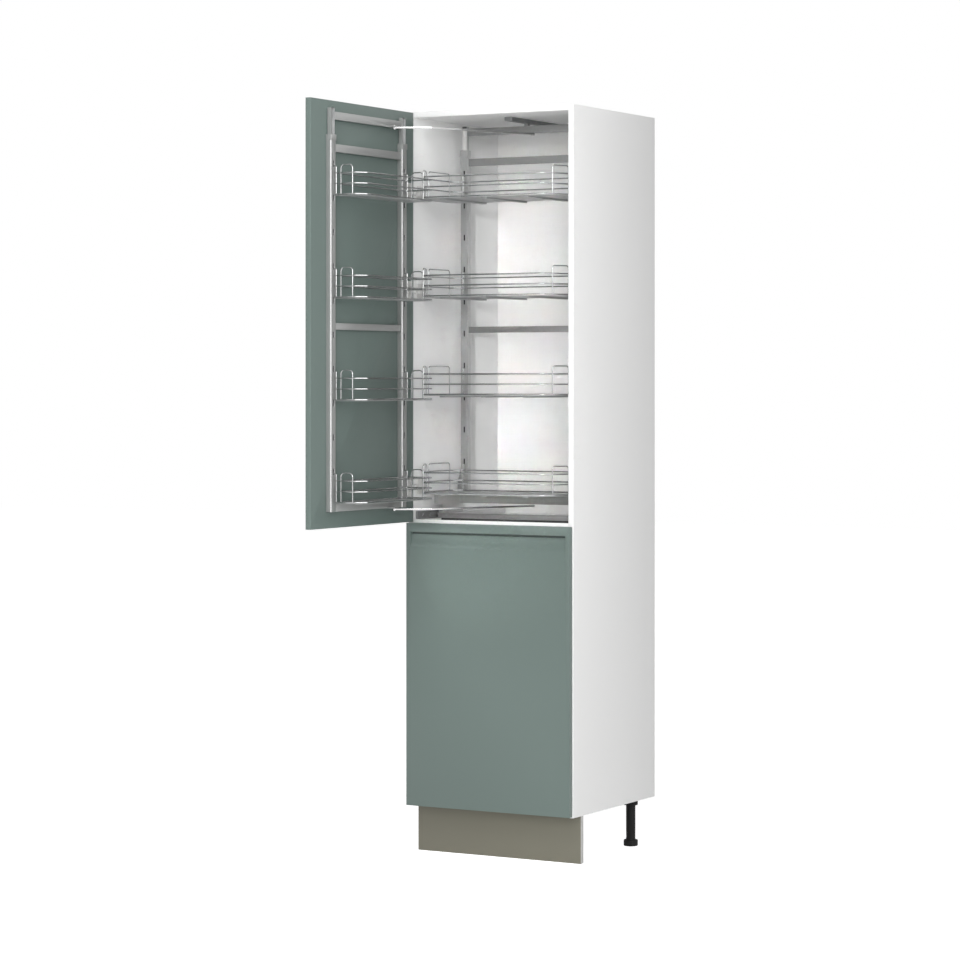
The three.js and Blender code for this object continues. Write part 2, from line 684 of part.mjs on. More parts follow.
// Wire rim of one shelf. `outline` is its plan, `loops` are pairs of plan points, and each hook
// is a plan point with the plan point inside the upright where its tip ends.
function shelfRim(outline, loops, hooks, slotZ) {
  const topWire = slotZ - TOP_WIRE_BELOW_SLOT;
  const lowWire = topWire - (WIRE_LEVELS - 1) * WIRE_PITCH;
  const loopTop = slotZ - LOOP_TOP_BELOW_SLOT - LOOP_WIRE_R;
  const hookTop = slotZ - SLOT_HEIGHT / 2 + FIT + LOOP_WIRE_R;
  const wires = [];
  for (let level = 0; level < WIRE_LEVELS; level += 1) {
    const z = topWire - level * WIRE_PITCH;
    const ring = bent(outline.map((corner) => at(corner, z)), WIRE_BEND, true);
    wires.push(wire(ring, WIRE_R, up, true));
  }
  for (const [first, second] of loops) {
    const line = [at(first, lowWire), at(first, loopTop), at(second, loopTop), at(second, lowWire)];
    const flat = line[2].clone().sub(line[1]).cross(up).normalize();
    wires.push(wire(bent(line, WIRE_BEND), LOOP_WIRE_R, flat));
  }
  for (const [foot, tip] of hooks) {
    const line = [at(foot, lowWire), at(foot, hookTop), at(tip, hookTop)];
    const flat = line[2].clone().sub(line[1]).cross(up).normalize();
    wires.push(wire(bent(line, WIRE_BEND / 2), LOOP_WIRE_R, flat));
  }
  return joined(...wires);
}

// Sheet tray under the lowest wire, with a rib under it at each X in `ribs`
function shelfTray(outline, ribs, slotZ) {
  const lowWire = slotZ - TOP_WIRE_BELOW_SLOT - (WIRE_LEVELS - 1) * WIRE_PITCH;
  const top = lowWire - WIRE_R - FIT;
  const depths = outline.map(([, y]) => y);
  const ribY = [Math.min(...depths) + RIB_SETBACK, Math.max(...depths)];
  const ribZ = [top - TRAY - RIB_DEPTH, top - TRAY / 2];
  const bars = ribs.map((x) => block([x - RIB_WIDTH / 2, x + RIB_WIDTH / 2], ribY, ribZ));
  return joined(raised(outlineShape(outline), [top - TRAY, top]), ...bars);
}

function shelves(prefix, { outline, loops, hooks, ribs }, topSlot) {
  return Array.from({ length: SHELF_COUNT }, (_, i) => {
    const slotZ = topSlot - i * SLOTS_PER_SHELF * slotPitch;
    return [
      piece(`${prefix}_shelf_${i + 1}_rim`, shelfRim(outline, loops, hooks, slotZ), chrome),
      piece(`${prefix}_shelf_${i + 1}_tray`, shelfTray(outline, ribs, slotZ), trayLacquer),
    ];
  }).flat();
}

function doorShelves() {
  const [left, right] = doorUprights;
  const back = doorFrameFace + DOOR_SHELF_BACK;
  const front = back + DOOR_SHELF_DEPTH;
  const [cutX, cutY] = DOOR_SHELF_CUT;
  const outline = [[left, back], [right, back], [right, front - cutY], [right - cutX, front],
    [left, front]];
  const loops = [left, right].map((x) => DOOR_LOOP.map((y) => [x, back + y]));
  const hooks = [left, right].map((x) => [
    [x, back + WIRE_BEND - 1],
    [x, doorFrameFace - STEEL - 2],
  ]);
  return shelves("door", { outline, loops, hooks, ribs: [] }, doorTopSlot);
}

function innerShelves() {
  const back = INNER_FRAME_FACE - INNER_SHELF_BACK;
  const front = back - INNER_SHELF_DEPTH;
  const [cutX, cutY] = INNER_SHELF_CUT;
  const half = sideInner - INNER_SHELF_FROM_SIDE;
  const cornerFront = [half - cutX, front];
  const cornerSide = [half, front + cutY];
  const rightHalf = [
    cornerFront,
    cornerSide,
    [half, back - INNER_SHELF_BACK_CUT],
    [half - INNER_SHELF_BACK_CUT, back],
  ];
  const mirrored = ([x, y]) => [-x, y];
  const outline = [...rightHalf, ...rightHalf.map(mirrored).reverse()];
  const onCorner = [0, 1].map((axis) => (
    cornerFront[axis] + CORNER_LOOP_SHARE * (cornerSide[axis] - cornerFront[axis])
  ));
  const rightLoops = [
    [onCorner, [half, front + CORNER_LOOP_BACK]],
    INNER_SIDE_LOOP.map((y) => [half, front + y]),
  ];
  const loops = [...rightLoops, ...rightLoops.map((loop) => loop.map(mirrored))];
  const hooks = [-innerUpright, innerUpright].map((x) => [
    [x, back - 1],
    [x, INNER_FRAME_FACE + STEEL + 2],
  ]);
  const ribs = [-RIB_SPACING, 0, RIB_SPACING];
  return shelves("inner", { outline, loops, hooks, ribs }, innerTopSlot);
}

// ---------------------------------------------------------------------------------------------
// Guides and swing bars
// ---------------------------------------------------------------------------------------------

function topRail() {
  const half = TOP_RAIL_WIDTH / 2;
  const groove = RUNNER_WIDTH / 2 + FIT;
  const top = ceiling - FIT;
  const y = [TOP_RAIL_FRONT, backFace - TOP_RAIL_FROM_BACK];
  const rail = solidOf(block([-half, half], y, [top - TOP_RAIL_HEIGHT, top]));
  const slot = block([-groove, groove], [TOP_RAIL_FRONT + 20, y[1] + 1],
    [top - TOP_RAIL_HEIGHT - 1, ceiling - 3 + FIT]);
  return piece("top_rail", without(rail, slot), darkSteel);
}

function baseTrack() {
  const outer = carriageHalf + TRACK_OUTSIDE;
  const inner = outer - TRACK_WIDTH;
  const z = [dividerTop + FIT, trackTop];
  const y = [TRACK_FRONT, backFace - TRACK_FROM_BACK];
  const track = joined(
    block([-outer, -inner], y, z),
    block([inner, outer], y, z),
    block([-inner - 1, inner + 1], [TRACK_FRONT, TRACK_FRONT + TRACK_CROSS_DEPTH], z),
  );
  return piece("base_track", track, satinSteel);
}

function sideBracket(name, side) {
  const x = [side * (sideInner - FIT), side * (sideInner - FIT - BRACKET_DEPTH)].sort((a, b) => a - b);
  const y = [BRACKET_FRONT, BRACKET_FRONT + BRACKET_LENGTH];
  const z = [dividerTop + FIT, dividerTop + FIT + BRACKET_HEIGHT];
  return piece(name, block(x, y, z), blackPlastic);
}

// the place in the cabinet, with the door open, of a point drawn on the shut door
function opened([x, y]) {
  return [axisX + (y - axisY), axisY - (x - axisX)];
}

// a flat strip with round ends from one plan point to another
function strip([x0, y0], [x1, y1], z) {
  const r = BAR_WIDTH / 2;
  const heading = Math.atan2(y1 - y0, x1 - x0);
  const quarter = Math.PI / 2;
  const shape = new THREE.Shape();
  shape.absarc(x1, y1, r, heading - quarter, heading + quarter);
  shape.absarc(x0, y0, r, heading + quarter, heading + 3 * quarter);
  return raised(shape, z);
}

function swingBar(name, lugFoot) {
  const top = lugFoot - BAR_GAP;
  const z = [top - BAR_HEIGHT, top];
  const doorPivot = opened(barDoorPivot);
  const knee = doorPivot.map((value, axis) => value + BAR_KNEE_STEP[axis]);
  const post = ([x, y], r, [foot, head]) => turnedUpright(
    [[0, foot], [r, foot], [r, head], [0, head]], 12,
  ).translate(x, y, 0);
  const bar = joined(
    strip(doorPivot, knee, z),
    strip(knee, barFramePivot, z),
    post(doorPivot, PIN_R, [top - 1, lugFoot + LUG + 1.5]),
    post(doorPivot, KNOB_R, [z[0] - KNOB_HEIGHT / 2, z[0] + 1]),
    post(barFramePivot, KNOB_R, [z[0] - 1, z[0] + 1]),
  );
  return piece(name, bar, chrome);
}

// ---------------------------------------------------------------------------------------------
// Assembly
// ---------------------------------------------------------------------------------------------

function groupOf(pieces) {
  const group = new THREE.Group();
  group.add(...pieces);
  return group;
}

const lowerDoorHeight = [LEG_HEIGHT + DOOR_REVEAL, doorSplit - DOOR_GAP / 2];
const upperDoorHeight = [doorSplit + DOOR_GAP / 2, carcassTop - DOOR_REVEAL];
const lowerGrip = fingerGrip(lowerDoorHeight[1] - GRIP_FROM_EDGE,
  lowerDoorHeight[1] - GRIP_FROM_EDGE - GRIP_HEIGHT);
const upperGrip = fingerGrip(upperDoorHeight[0] + GRIP_FROM_EDGE,
  upperDoorHeight[0] + GRIP_FROM_EDGE + GRIP_HEIGHT);

const fixedParts = groupOf([
  ...carcass(),
  plinth(),
  ...legs(),
  topRail(),
  baseTrack(),
  sideBracket("side_bracket_left", -1),
  sideBracket("side_bracket_right", 1),
  ...hingeNames("upper", "hinge_arm", upperHinges).map(([name, z]) => hingeArm(name, z)),
  ...hingeNames("lower", "hinge_arm", lowerHinges).map(([name, z]) => hingeArm(name, z)),
]);

const lowerDoor = groupOf([
  doorLeaf("lower_door", lowerDoorHeight, lowerGrip, lowerHinges),
  ...hingeNames("lower", "hinge_cup", lowerHinges).map(([name, z]) => hingeCup(name, z)),
]);

const upperDoorShut = groupOf([
  doorLeaf("upper_door", upperDoorHeight, upperGrip, upperHinges),
  ...hingeNames("upper", "hinge_cup", upperHinges).map(([name, z]) => hingeCup(name, z)),
  ...doorFrame(),
  ...doorShelves(),
]);
upperDoorShut.position.set(-axisX, -axisY, 0);
const upperDoor = groupOf([upperDoorShut]);
upperDoor.position.set(axisX, axisY, 0);
upperDoor.rotation.z = -Math.PI / 2;

const pulledOut = groupOf([...innerFrame(), ...innerShelves()]);

const swingBars = groupOf([
  swingBar("swing_bar_upper", headBar[0]),
  swingBar("swing_bar_lower", doorFootBar[0]),
]);

const cabinet = groupOf([fixedParts, lowerDoor, upperDoor, pulledOut, swingBars]);
cabinet.name = "larder_cabinet";
cabinet.position.y = -(PLINTH_SETBACK + PLINTH / 2);

const whole = groupOf([cabinet]);
export default whole;
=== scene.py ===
# %% [markdown]
# # A tall kitchen cabinet with a swing-out larder
#
# The cabinet stands 2.37 m tall. Its lower door is shut. Its upper door stands open at a right
# angle, and it carries a slotted steel frame with four wire shelves. A second frame with four
# larger shelves has come forward with it, drawn by two flat bars. The shapes come from a packed
# CAD model, and this lesson gives them their round wires, soft edges and finishes.

# %% Load the cabinet
import json
import math

import bmesh
import bpy
from mathutils import Matrix, Vector


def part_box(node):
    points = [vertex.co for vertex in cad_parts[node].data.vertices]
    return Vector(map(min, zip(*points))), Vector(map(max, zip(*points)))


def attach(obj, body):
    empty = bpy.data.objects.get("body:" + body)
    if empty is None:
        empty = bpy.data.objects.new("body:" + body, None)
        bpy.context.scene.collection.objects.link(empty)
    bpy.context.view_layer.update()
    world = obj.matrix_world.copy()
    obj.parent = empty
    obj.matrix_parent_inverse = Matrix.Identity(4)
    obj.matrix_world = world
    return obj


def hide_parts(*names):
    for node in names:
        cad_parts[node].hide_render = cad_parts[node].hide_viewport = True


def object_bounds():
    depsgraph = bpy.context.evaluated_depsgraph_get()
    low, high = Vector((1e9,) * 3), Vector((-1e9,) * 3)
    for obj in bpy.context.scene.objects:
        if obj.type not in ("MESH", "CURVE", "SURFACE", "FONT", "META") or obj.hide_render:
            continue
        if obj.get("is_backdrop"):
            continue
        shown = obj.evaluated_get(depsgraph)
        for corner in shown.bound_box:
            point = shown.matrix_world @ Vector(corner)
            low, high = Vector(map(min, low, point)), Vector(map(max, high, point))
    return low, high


MM = 0.001

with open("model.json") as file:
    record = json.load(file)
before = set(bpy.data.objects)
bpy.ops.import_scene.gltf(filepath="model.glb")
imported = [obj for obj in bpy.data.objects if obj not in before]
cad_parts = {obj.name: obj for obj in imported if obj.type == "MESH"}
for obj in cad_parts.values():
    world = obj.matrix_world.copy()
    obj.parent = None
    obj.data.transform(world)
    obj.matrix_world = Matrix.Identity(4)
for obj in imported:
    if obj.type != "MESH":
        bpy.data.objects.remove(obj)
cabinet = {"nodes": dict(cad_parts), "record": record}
nodes = cabinet["nodes"]
body_of_node = {
    node: body
    for body, members in cabinet["record"]["behaviour"]["bodies"].items()
    for node in members
}
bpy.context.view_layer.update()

# %% [markdown]
# ## The camera
#
# The photograph's upright edges are parallel, so its camera was level and the picture was
# framed by shifting the lens. The same is done here: the camera looks straight ahead from 1.5 m
# above the floor, and the two shifts place the cabinet in the frame. Tilting the camera instead
# would make the cabinet's sides lean.

# %% Place the camera
PICTURE = 960                     # the picture's side, in pixels
FOCAL_PIXELS = 2955.35            # the focal length, measured in those pixels
AHEAD_PIXEL = (552.91, 381.70)    # the pixel that the camera looks at
CAMERA_PLACE = (4.66649, -8.13918, 1.50696)
CAMERA_TURN = 28.793              # degrees, to the camera's left

eye = bpy.data.cameras.new("camera")
eye.sensor_width = 36
eye.lens = eye.sensor_width * FOCAL_PIXELS / PICTURE
eye.shift_x = (PICTURE / 2 - AHEAD_PIXEL[0]) / PICTURE
eye.shift_y = (AHEAD_PIXEL[1] - PICTURE / 2) / PICTURE
eye.clip_end = 60
camera = bpy.data.objects.new("camera", eye)
camera.location = CAMERA_PLACE
camera.rotation_euler = (math.radians(90), 0, math.radians(CAMERA_TURN))
bpy.context.scene.collection.objects.link(camera)
bpy.context.scene.camera = camera
print("lens in mm:", round(eye.lens, 2))

# %% [markdown]
# ## Numbers that vary over a surface
#
# A finish is easier to read as a sum than as a picture of joined boxes. `Grade` wraps one socket
# of a node tree, and the usual signs add the Math node that does the work, so that
# `(grain - 0.5) * 0.1` is written just like that. Each sign works with the plain number first
# too, as in `1 - grain`. A Math node would turn a colour grey, so a colour goes through a Mix
# node, which `shades_of` adds.

# %% Write the arithmetic
def tinted(colour, share):
    return tuple(channel * share for channel in colour)


class Grade:
    """A number that varies over a surface, with Python's arithmetic."""

    def __init__(self, wiring, socket):
        self.wiring = wiring
        self.socket = socket

    def _math(self, operation, first, second):
        return self.wiring.node("ShaderNodeMath", {"operation": operation}, {0: first, 1: second})

    def __add__(self, other):
        return self._math("ADD", self, other)

    __radd__ = __add__

    def __sub__(self, other):
        return self._math("SUBTRACT", self, other)

    def __rsub__(self, other):
        return self._math("SUBTRACT", other, self)

    def __mul__(self, other):
        return self._math("MULTIPLY", self, other)

    __rmul__ = __mul__

    def around(self, value, swing):
        """A value that this number, from 0 to 1, moves down and up by half a swing."""
        return value + (self - 0.5) * swing

    def shades_of(self, colour, dark, light):
        """A colour, from a dark share of it to a light one as this number rises."""
        sockets = {"Factor": self, "A": (*tinted(colour, dark), 1), "B": (*tinted(colour, light), 1)}
        return self.wiring.node(
            "ShaderNodeMix", {"data_type": "RGBA"}, sockets, output="Result", kind="RGBA"
        )


print("a green at half its strength:", tinted((0.2, 0.4, 0.2), 0.5))

# %% [markdown]
# ## Nodes from one method
#
# Every other node comes from the method `node`: it takes the node's type, its settings, and the
# values or links of its sockets. The floor, the world and the materials all use it. `Finish`
# adds what only a material has: its shader, soft noise on Object coordinates, and a bump.

# %% Write the wiring of a material
class Wiring:
    """Adds nodes to one node tree."""

    def __init__(self, tree):
        self.tree = tree

    def node(self, kind_of_node, settings=None, sockets=None, output=0, kind=None):
        made = self.tree.nodes.new(kind_of_node)
        for name, value in (settings or {}).items():
            setattr(made, name, value)
        typed = [s for s in made.inputs if kind is None or s.type in (kind, "VALUE")]
        for name, value in (sockets or {}).items():
            if isinstance(name, int):
                socket = made.inputs[name]
            else:
                socket = next(s for s in typed if s.name == name and s.enabled)
            self.feed(socket, value)
        results = [s for s in made.outputs if s.enabled]
        chosen = results[output] if isinstance(output, int) else next(
            s for s in results if s.name == output
        )
        return Grade(self, chosen)

    def feed(self, socket, value):
        if isinstance(value, Grade):
            self.tree.links.new(value.socket, socket)
        else:
            socket.default_value = value


class Finish(Wiring):
    """A material in the making: its nodes, and the shader they feed."""

    def __init__(self, name, **shader_values):
        self.material = bpy.data.materials.new(name)
        self.material.use_nodes = True
        super().__init__(self.material.node_tree)
        self.shader = self.tree.nodes["Principled BSDF"]
        self.into(**shader_values)

    def into(self, **sockets):
        for name, value in sockets.items():
            self.feed(self.shader.inputs[name.replace("_", " ")], value)

    def grain(self, size, scale=(1, 1, 1), detail=2.0, roughness=0.5):
        """Soft noise whose lumps are about `size` metres across, stretched by a scale below 1."""
        where = self.node("ShaderNodeTexCoord", output="Object")
        place = self.node("ShaderNodeMapping", {}, {"Vector": where, "Scale": scale})
        sockets = {"Vector": place, "Scale": 1 / size, "Detail": detail, "Roughness": roughness}
        return self.node("ShaderNodeTexNoise", {}, sockets)

    def bump(self, height, depth, strength=1.0):
        """Raises the surface by a height from 0 to 1, `depth` metres at the most."""
        sockets = {"Height": height, "Distance": depth, "Strength": strength}
        self.into(Normal=self.node("ShaderNodeBump", {}, sockets))


print("materials that came with the solids:", len(bpy.data.materials))

# %% [markdown]
# ## White board
#
# The carcass is chipboard faced with white melamine. Up close melamine is pressed with a fine
# pearl texture, and from a step away it is an even white with a soft sheen. A picture of a board
# would show where it repeats, so two noises do this: a very fine one for the bump and the
# roughness, and a broad faint one for the colour. The cabinet's outer sides get a darker white,
# which is painted shade.

# %% Make the white melamine
def board_finish(name, colour, roughness, drift=0.02):
    """A faced board: an even colour, a pearl texture and a broad faint change of tone."""
    finish = Finish(name, Metallic=0.0, Specular_IOR_Level=0.4)
    broad = finish.grain(0.35, detail=1.0)
    pearl = finish.grain(0.0016, detail=1.0)
    finish.into(
        Base_Color=broad.shades_of(colour, 1 - drift, 1 + drift),
        Roughness=pearl.around(roughness, swing=0.06),
    )
    finish.bump(pearl, depth=0.00004, strength=0.35)
    return finish.material


WHITE = (0.93, 0.93, 0.925)
# the share of white left on the outer sides, which is painted shade
SIDE_SHADE_SHARE = 0.93
white_melamine = board_finish("white_melamine", WHITE, roughness=0.46, drift=0.006)
shaded_side_melamine = board_finish(
    "shaded_side_melamine", tinted(WHITE, SIDE_SHADE_SHARE), roughness=0.46, drift=0.006
)
print("white boards ready:", WHITE)

# %% [markdown]
# ## Grey-green fronts and the plinth
#
# The doors are sprayed with a matt grey-green lacquer. Spraying leaves a very shallow orange
# peel, coarser than melamine's pearl. A noise in the bump is enough for it: it breaks up the
# reflections without being seen as such, and without it the doors would mirror the lamps too
# cleanly. The grooves of the grips get a darker green, which is painted shade for the little
# light that finds its way into them. The plinth is a faced board in a warm stone grey, with a
# pale edging on its cut end.

# %% Make the lacquer and the plinth's facing
GREEN = (0.142, 0.186, 0.171)
# how dark the painted shade in the grip grooves is
GROOVE_SHADE_SHARE = 0.4
STONE = (0.184, 0.177, 0.139)


def lacquer_finish(name, colour):
    finish = Finish(name, Metallic=0.0, Specular_IOR_Level=0.45)
    peel = finish.grain(0.006, detail=1.5)
    broad = finish.grain(0.5, detail=1.0)
    finish.into(
        Base_Color=broad.shades_of(colour, 0.975, 1.025),
        Roughness=peel.around(0.44, swing=0.08),
    )
    finish.bump(peel, depth=0.00006, strength=0.4)
    return finish.material


green_lacquer = lacquer_finish("green_lacquer", GREEN)
# the grooves' darker green is painted shade
groove_painted_shade = lacquer_finish("groove_painted_shade", tinted(GREEN, GROOVE_SHADE_SHARE))
stone_facing = board_finish("stone_facing", STONE, roughness=0.5)
pale_edging = board_finish("pale_edging", (0.52, 0.52, 0.51), roughness=0.5)
print("fronts and plinth ready:", GREEN, STONE)

# %% [markdown]
# ## Brushed steel
#
# The frames are folded from steel strip that was brushed along its length before it was
# lacquered, so the grain follows each piece: up the uprights, along the crossbars. A noise
# stretched fifty times along one axis gives those lines, and each direction is a material of its
# own. A darker one, which is painted shade, serves the crossbars deep inside the cabinet and the
# carriage's gussets.

# %% Make the brushed steel
STEEL = (0.40, 0.405, 0.40)
STRETCH = 0.02
GRAIN_SCALE = {"x": (STRETCH, 1, 1), "y": (1, STRETCH, 1), "z": (1, 1, STRETCH)}


def brushed_finish(name, colour, along):
    finish = Finish(name, Metallic=0.5)
    lines = finish.grain(0.0012, GRAIN_SCALE[along], detail=3.0, roughness=0.6)
    patches = finish.grain(0.12, detail=1.0)
    finish.into(
        Base_Color=(lines * 0.7 + patches * 0.3).shades_of(colour, 0.86, 1.12),
        Roughness=lines.around(0.38, swing=0.14),
    )
    finish.bump(lines, depth=0.00003, strength=0.5)
    return finish.material


satin_steel = {along: brushed_finish(f"satin_steel_{along}", STEEL, along) for along in "xyz"}
# the same steel darkened as painted shade, for pieces deep in the cabinet
shaded_steel = brushed_finish("shaded_steel", tinted(STEEL, 0.7), "x")
print("brushed steels:", len(satin_steel) + 1)

# %% [markdown]
# ## Plated wire and coated sheet
#
# The wires and the swing bars are chromed, with only the faintest haze. The hinges are nickel
# plated and the screws zinc plated. The trays, the guide rail and the track are sheet steel
# under satin grey coats, and the track's sides are zinc. A few faces of the uprights and the
# carriage are brighter or darker, which is painted light and painted shade. All of them are one
# smooth coat over metal, so one function makes them, and the haze, which is a soft cloud in the
# coat, is all that varies over the surface.

# %% Make the plated and coated metals
def plated_finish(name, colour, roughness, metallic=1.0, haze=0.08):
    """Plated or coated metal: a smooth coat with a little haze in it."""
    finish = Finish(name, Metallic=metallic)
    cloud = finish.grain(0.02, detail=3.0)
    finish.into(
        Base_Color=cloud.shades_of(colour, 1 - haze, 1 + haze),
        Roughness=cloud * haze + roughness,
    )
    return finish.material


chrome_wire = plated_finish("chrome_wire", (0.46, 0.465, 0.465), roughness=0.13)
bar_chrome = plated_finish("bar_chrome", (0.55, 0.55, 0.55), roughness=0.14)
# nickel for the hinges, and painted light in the inner uprights' head channels
nickel_and_painted_light = plated_finish("nickel_and_painted_light", (0.75, 0.745, 0.735), roughness=0.3, metallic=0.3)
zinc = plated_finish("zinc", (0.62, 0.63, 0.64), roughness=0.22)
# a paler coat for the inner uprights' flanks: painted light
painted_light_flange = plated_finish("painted_light_flange", (0.62, 0.625, 0.62), roughness=0.38, metallic=0.5)
# a bright coat on the folded corners of the door's uprights: a painted highlight
painted_highlight_fold = plated_finish("painted_highlight_fold", (0.8, 0.8, 0.8), roughness=0.22, metallic=0.8)
# zinc on the track's sides, and painted light on the carriage's arms and skids
zinc_and_painted_light = plated_finish("zinc_and_painted_light", (0.62, 0.625, 0.62), roughness=0.4, metallic=0.3)
tray_lacquer = plated_finish("tray_lacquer", (0.42, 0.425, 0.425), roughness=0.4, metallic=0.4)
track_coat = plated_finish("track_coat", (0.32, 0.325, 0.325), roughness=0.36, metallic=0.4)
# the top rail's own coat, and painted shade in the door uprights' head channels
rail_coat_and_groove_shade = plated_finish("rail_coat_and_groove_shade", (0.27, 0.275, 0.275), roughness=0.35, metallic=0.6)
print("plated and coated metals ready")

# %% [markdown]
# ## Plastic and the dark strip
#
# The legs are black plastic, and the liners behind the slots are black as painted shade. The
# side brackets and the caps are grey, and the strip along the fixed shelf's front is dark. A mould
# is spark-eroded, so what comes out of it has a fine even roughness, which one very small noise
# gives.

# %% Make the plastics
def moulded_finish(name, colour, roughness=0.5, shine=0.3):
    finish = Finish(name, Metallic=0.0, Specular_IOR_Level=shine)
    spark = finish.grain(0.0009, detail=2.0)
    finish.into(
        Base_Color=spark.shades_of(colour, 0.85, 1.2),
        Roughness=spark.around(roughness, swing=0.12),
    )
    finish.bump(spark, depth=0.00005, strength=0.5)
    return finish.material


black_plastic = moulded_finish("black_plastic", (0.005, 0.005, 0.0053), 0.6, shine=0.17)
dark_plastic = moulded_finish("dark_plastic", (0.085, 0.087, 0.088))
grey_plastic = moulded_finish("grey_plastic", (0.19, 0.195, 0.195))
# a dark finish for the strip along the fixed shelf's front
dark_front_strip = moulded_finish("dark_front_strip", (0.035, 0.036, 0.036), 0.6, shine=0.2)
print("materials so far:", len(bpy.data.materials))

# %% [markdown]
# ## Soft edges
#
# No manufactured edge is perfectly sharp: boards are edge-banded and eased, and sheet steel has
# a small radius at each fold. Light catches those rounded edges, and that line of light is much
# of what makes an object look real. The CAD solids have sharp edges, so a copy of each solid is
# merged into one surface and its sharp edges are bevelled. A Bevel modifier would round them
# too, but in a bmesh a form can still be cut before its edges are chosen. Where a piece has a
# second finish on some of its faces, those are picked by where they are and which way they look.

# %% Round over a copy of a solid
SAME_POINT = 0.02 * MM


def finished_piece(name, bm, finish, body, smooth=40):
    """Turns a bmesh into a piece that rides on a body."""
    mesh = bpy.data.meshes.new(name)
    bm.to_mesh(mesh)
    bm.free()
    mesh.shade_smooth()
    mesh.set_sharp_from_angle(angle=math.radians(smooth))
    mesh.materials.append(finish)
    piece = bpy.data.objects.new(name, mesh)
    bpy.context.scene.collection.objects.link(piece)
    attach(piece, body)
    return piece


def sharp_edges(bm, angle=30):
    limit = math.radians(angle)
    return [e for e in bm.edges if len(e.link_faces) == 2 and e.calc_face_angle(0) > limit]


def round_edges(bm, edges, radius, segments=2):
    bmesh.ops.bevel(bm, geom=edges, offset=radius, segments=segments, profile=0.5,
                    affect="EDGES", clamp_overlap=True, material=-1)


def softened(node, radius, finish, segments=2, angle=30, reshape=None):
    """A copy of a CAD node with its sharp edges rounded over, shown in the node's place."""
    bm = bmesh.new()
    bm.from_mesh(nodes[node].data)
    bmesh.ops.remove_doubles(bm, verts=bm.verts, dist=SAME_POINT)
    bmesh.ops.dissolve_limit(bm, angle_limit=math.radians(1), verts=bm.verts, edges=bm.edges)
    if reshape:
        reshape(bm)
    round_edges(bm, sharp_edges(bm, angle), radius, segments)
    piece = finished_piece(f"{node}_soft", bm, finish, body_of_node[node])
    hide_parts(node)
    return piece


def refinished(piece, finish, chosen):
    """Gives another finish to faces in the first one whose centre and normal pass a test."""
    piece.data.materials.append(finish)
    index = len(piece.data.materials) - 1
    for face in piece.data.polygons:
        if face.material_index == 0 and chosen(face.center, face.normal):
            face.material_index = index


# %% [markdown]
# ## The boards
#
# The carcass is a box of 18 mm boards, with a fixed shelf between its two compartments. Its edge
# banding is trimmed to a radius of about half a millimetre, and the plinth's to a little more. A
# board needs only that radius and a finish, so a loop makes them all, and then the outer faces of
# the two sides take the darker white, which is painted shade.

# %% Soften the boards
BOARD_EDGE = 0.6 * MM
PLINTH_EDGE = 0.8 * MM
WHITE_BOARDS = ("bottom_panel", "top_panel", "divider_shelf", "lower_shelf", "back_panel")

for board in WHITE_BOARDS:
    softened(board, BOARD_EDGE, white_melamine)
for side, outward in (("left", -1), ("right", 1)):
    panel = softened(f"side_panel_{side}", BOARD_EDGE, white_melamine)
    # the outer faces take the darkened white: painted shade
    refinished(panel, shaded_side_melamine, lambda at, normal: normal.x * outward > 0.9)
softened("plinth", PLINTH_EDGE, stone_facing)
print("boards softened:", len(WHITE_BOARDS) + 3)

# %% [markdown]
# ## The doors and their grips
#
# A door has no handle. Its grip is a recess milled along one end: deepest beside a straight
# shoulder, and rising from there in a curve to the door's face. The CAD solid has the recess. The
# narrow groove beside the shoulder, where the fingertips hook in, is cut here: a plane splits the
# recess's floor, and the strip between is inset a little and pushed in. A cutter with a boolean
# would do it too, but an inset keeps the faces clean for the bevel that follows.

# %% Soften the doors and sink the grooves
GRIP_SHOULDER = 28 * MM
GROOVE_WIDTH = 7.5 * MM
GROOVE_WALL = 0.2 * MM
GROOVE_DEPTH = 5 * MM
SQUARE_MM = MM * MM
LARGEST_STRIP = 6000 * SQUARE_MM    # the door's own face is larger than this


def grip_groove(shoulder, downward, outward):
    """Returns a step that sinks a finger groove beside the shoulder of a door's grip."""
    def sink(bm):
        bmesh.ops.bisect_plane(bm, geom=bm.verts[:] + bm.edges[:] + bm.faces[:],
                               plane_co=(0, 0, shoulder + downward * GROOVE_WIDTH),
                               plane_no=(0, 0, 1))
        near = [f for f in bm.faces if f.normal.dot(outward) > 0.99
                and abs(f.calc_center_median().z - shoulder) < 0.6 * GROOVE_WIDTH
                and f.calc_area() < LARGEST_STRIP]
        strip = max(near, key=lambda f: f.calc_area())
        bmesh.ops.inset_region(bm, faces=[strip], thickness=GROOVE_WALL, use_even_offset=True)
        bmesh.ops.translate(bm, vec=-GROOVE_DEPTH * outward, verts=strip.verts)
        # the sunk strip takes the second material, the grooves' painted shade
        strip.material_index = 1
    return sink


def door_leaf(node, shoulder, downward, outward):
    groove = grip_groove(shoulder, downward, outward)
    leaf = softened(node, BOARD_EDGE, green_lacquer, angle=25, reshape=groove)
    # the second material is the painted shade of the groove
    leaf.data.materials.append(groove_painted_shade)


low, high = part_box("lower_door")
door_leaf("lower_door", high.z - GRIP_SHOULDER, -1, Vector((0, -1, 0)))
low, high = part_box("upper_door")
door_leaf("upper_door", low.z + GRIP_SHOULDER, 1, Vector((-1, 0, 0)))
print("doors softened and grooved")

# %% [markdown]
# ## The slotted uprights
#
# Each frame hangs on two folded uprights with a row of slots and a telescoping head. The CAD
# solids already have the folds and the slots, so they are softened like the boards, with the
# brushed grain along each piece. The head is an open channel, made by insetting its front face
# and pushing that in. Light and shade are painted on some faces: the inner heads' channels are
# painted bright and the door heads' channels dark, the flanks of the inner uprights are painted
# paler, and the folded corner of the door's uprights has a painted highlight.

